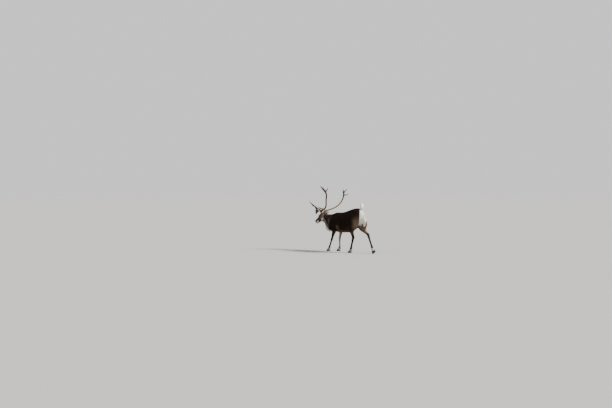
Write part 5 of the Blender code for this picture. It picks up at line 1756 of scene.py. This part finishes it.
def coat_regions(co):
    """Which places belong to each piece of the coat, and which to the mane."""
    x, y, z = co.T
    h = in_head(co)
    loose = rng.normal(0, 1, len(co))
    on_ear = ear_share(co) > 0.5
    on_head = (h[:, 0] < 0.425) & (x < -0.85) & (z > 0.70) & ~on_ear
    under_belly = (x > -0.30) & (x < 0.16) | (x < -0.52)
    on_leg = (z < 0.60) & ((np.abs(y) > 0.05) | (x > 0.4)) & ~under_belly | (z < 0.52)
    on_mane = (x + 0.020 * loose < -0.575) & ~on_head & ~on_ear & (z + 0.02 * loose < 0.985) & (z > 0.50)
    on_neck = (x < -0.47) & ~on_head & ~on_ear & ~on_mane & ~on_leg
    on_tail = tail_share(co) > 0.5
    rest = ~(on_ear | on_head | on_tail | on_leg | on_mane | on_neck)
    regions = {
        "hair_ears": on_ear,
        "hair_face": on_head & (h[:, 0] < FACE_END),
        "hair_head": on_head & (h[:, 0] >= FACE_END),
        "hair_tail": on_tail,
        "hair_forelegs": on_leg & (x < 0.0),
        "hair_hindlegs": on_leg & (x >= 0.0),
        "hair_neck": on_neck,
    }
    lengths = {
        "shoulders": x < SHOULDER_END,
        "flank": (x >= SHOULDER_END) & (x < RUMP_START),
        "rump": x >= RUMP_START,
    }
    for name, length in lengths.items():
        regions[f"hair_{name}_left"] = rest & length & (y < 0)
        regions[f"hair_{name}_right"] = rest & length & (y >= 0)
    return regions, on_mane


def eyeball(side):
    """One eye: a ball with the cornea's bulge, painted with its iris and its wide pupil."""
    bpy.ops.object.select_all(action="DESELECT")
    bpy.ops.mesh.primitive_uv_sphere_add(segments=48, ring_count=32, radius=EYE_RADIUS)
    eye = bpy.context.active_object
    eye.name = "eyeball_" + SIDE_NAMES[side]
    co = places(eye.data)
    front = co[:, 1] > 0
    off = np.hypot(co[:, 0], co[:, 2])
    co[:, 1] += 0.0012 * (np.exp(-((off / 0.0095) ** 2)) * front)
    place_all(eye.data, co)
    pupil = 1 - ramp(np.hypot(co[:, 0] / 0.0090, co[:, 2] / 0.0055), 0.85, 1.1)
    iris = 1 - ramp(off, 0.0125, 0.0140)
    colour = np.tile(linear("#1a1210"), (len(co), 1))
    colour = painted(colour, iris * front, linear("#24150d"))
    colour = painted(colour, pupil * front, linear("#050506"))
    colour_points(eye.data, "Iris", colour)
    eye.data.transform(eye_frame(side))
    return eye


skin = whole_skin()
unwrapped(skin)
painted_mesh(skin)
skin.data.shade_smooth()
root, outward, spot = spread(skin.data, lambda co: coat_at(co)[3])
keep = hairy(root)
root, outward, spot = root[keep], outward[keep], spot[keep]
regions, on_mane = coat_regions(root)
slots = {"hair_tail": "white_coat", "hair_neck": "neck_mane"}
slots |= {name: "head_coat" for name in ("hair_face", "hair_head", "hair_ears")}
for name, chosen in regions.items():
    piece = coat_piece(name, root[chosen], outward[chosen], spot[chosen])
    settle(piece, HAIR)
settle(mane_piece("hair_mane", root[on_mane], outward[on_mane], spot[on_mane]), HAIR)
settle(eyelashes(root, spot), HAIR)

settle(skin, SKIN)
flesh = ["head", "neck", "torso", "tail", "ear_left", "ear_right"]
for kind, side in LEGS:
    flesh += [f"{kind}leg_{SIDE_NAMES[side]}_{half}" for half in ("upper", "lower")]
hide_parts(*flesh)

for side, side_name in SIDE_NAMES.items():
    horn = antler(side)
    horn.data.shade_smooth()
    settle(horn, ANTLER_BONE)
    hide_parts(*[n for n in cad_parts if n.startswith("antler_" + side_name)])

    eye = eyeball(side)
    eye.data.shade_smooth()
    settle(eye, WET_EYE)
    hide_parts("eye_" + side_name)

for kind, side in LEGS:
    for outer in (True, False):
        hoof = claw(kind, side, outer)
        hoof.data.shade_smooth()
        hoof.data.set_sharp_from_angle(angle=math.radians(40))
        settle(hoof, HOOF_HORN)
        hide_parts(hoof.name[: -len("_horn")])
    dew = object_of(f"dewclaws_{kind}_{SIDE_NAMES[side]}", dewclaw_shells(kind, side))
    dew.data.shade_smooth()
    settle(dew, HOOF_HORN)

# Floor, light and camera
bpy.ops.object.select_all(action="DESELECT")
bpy.ops.mesh.primitive_plane_add(size=240, location=(0, 0, -0.0005))
floor = bpy.context.active_object
floor.name = "floor"
matt = {"Base Color": flat("#9a9a99"), "Roughness": 1.0, "Specular IOR Level": 0.0}
wears(floor, material("pale_floor_paint", matt)[0])

world = bpy.data.worlds.new("studio")
bpy.context.scene.world = world
world.use_nodes = True
backdrop = world.node_tree.nodes["Background"]
backdrop.inputs["Color"].default_value = flat("#fefeff")
backdrop.inputs["Strength"].default_value = 0.95


def soft_sun(name, direction, power, width, tint):
    """Even light from far away, as from a lamp this many degrees wide."""
    lamp = bpy.data.lights.new(name, "SUN")
    lamp.energy = power
    lamp.angle = math.radians(width)
    lamp.color = tint
    in_scene(name, lamp).rotation_euler = Vector(direction).to_track_quat("-Z", "Y").to_euler()


# the key comes from behind on the right, the fill from the camera's left
soft_sun("key", (-4.4, -2.6, -3.7), 10.5, 14, (1.0, 0.975, 0.935))
soft_sun("fill", (0.65, 0.70, -0.30), 1.1, 70, (0.95, 0.975, 1.0))

# The camera stands behind the left side. The level way from it over the origin falls on AIM in the
# photo's frame, counted in pixels from the left and the top.
PHOTO_SIZE = (612, 408)
LENS = 50
SENSOR = 36
AIM = (347.3, 186.5)
CAMERA_DISTANCE = 24.6
CAMERA_HEIGHT = 1.9
CAMERA_AZIMUTH = math.radians(45)

lens_data = bpy.data.cameras.new("camera")
lens_data.lens = LENS
lens_data.sensor_width = SENSOR
lens_data.clip_end = 400
camera = in_scene("camera", lens_data)
across = CAMERA_DISTANCE * math.sin(CAMERA_AZIMUTH)
back = -CAMERA_DISTANCE * math.cos(CAMERA_AZIMUTH)
camera.location = TO_FRAME @ Vector((across, back, CAMERA_HEIGHT))
reach = PHOTO_SIZE[0] * LENS / SENSOR
yaw = math.atan((AIM[0] - PHOTO_SIZE[0] / 2) / reach)
pitch = math.atan((PHOTO_SIZE[1] / 2 - AIM[1]) / reach)
camera.rotation_euler = (math.radians(90) - pitch, 0, CAMERA_AZIMUTH + yaw)
bpy.context.scene.camera = camera
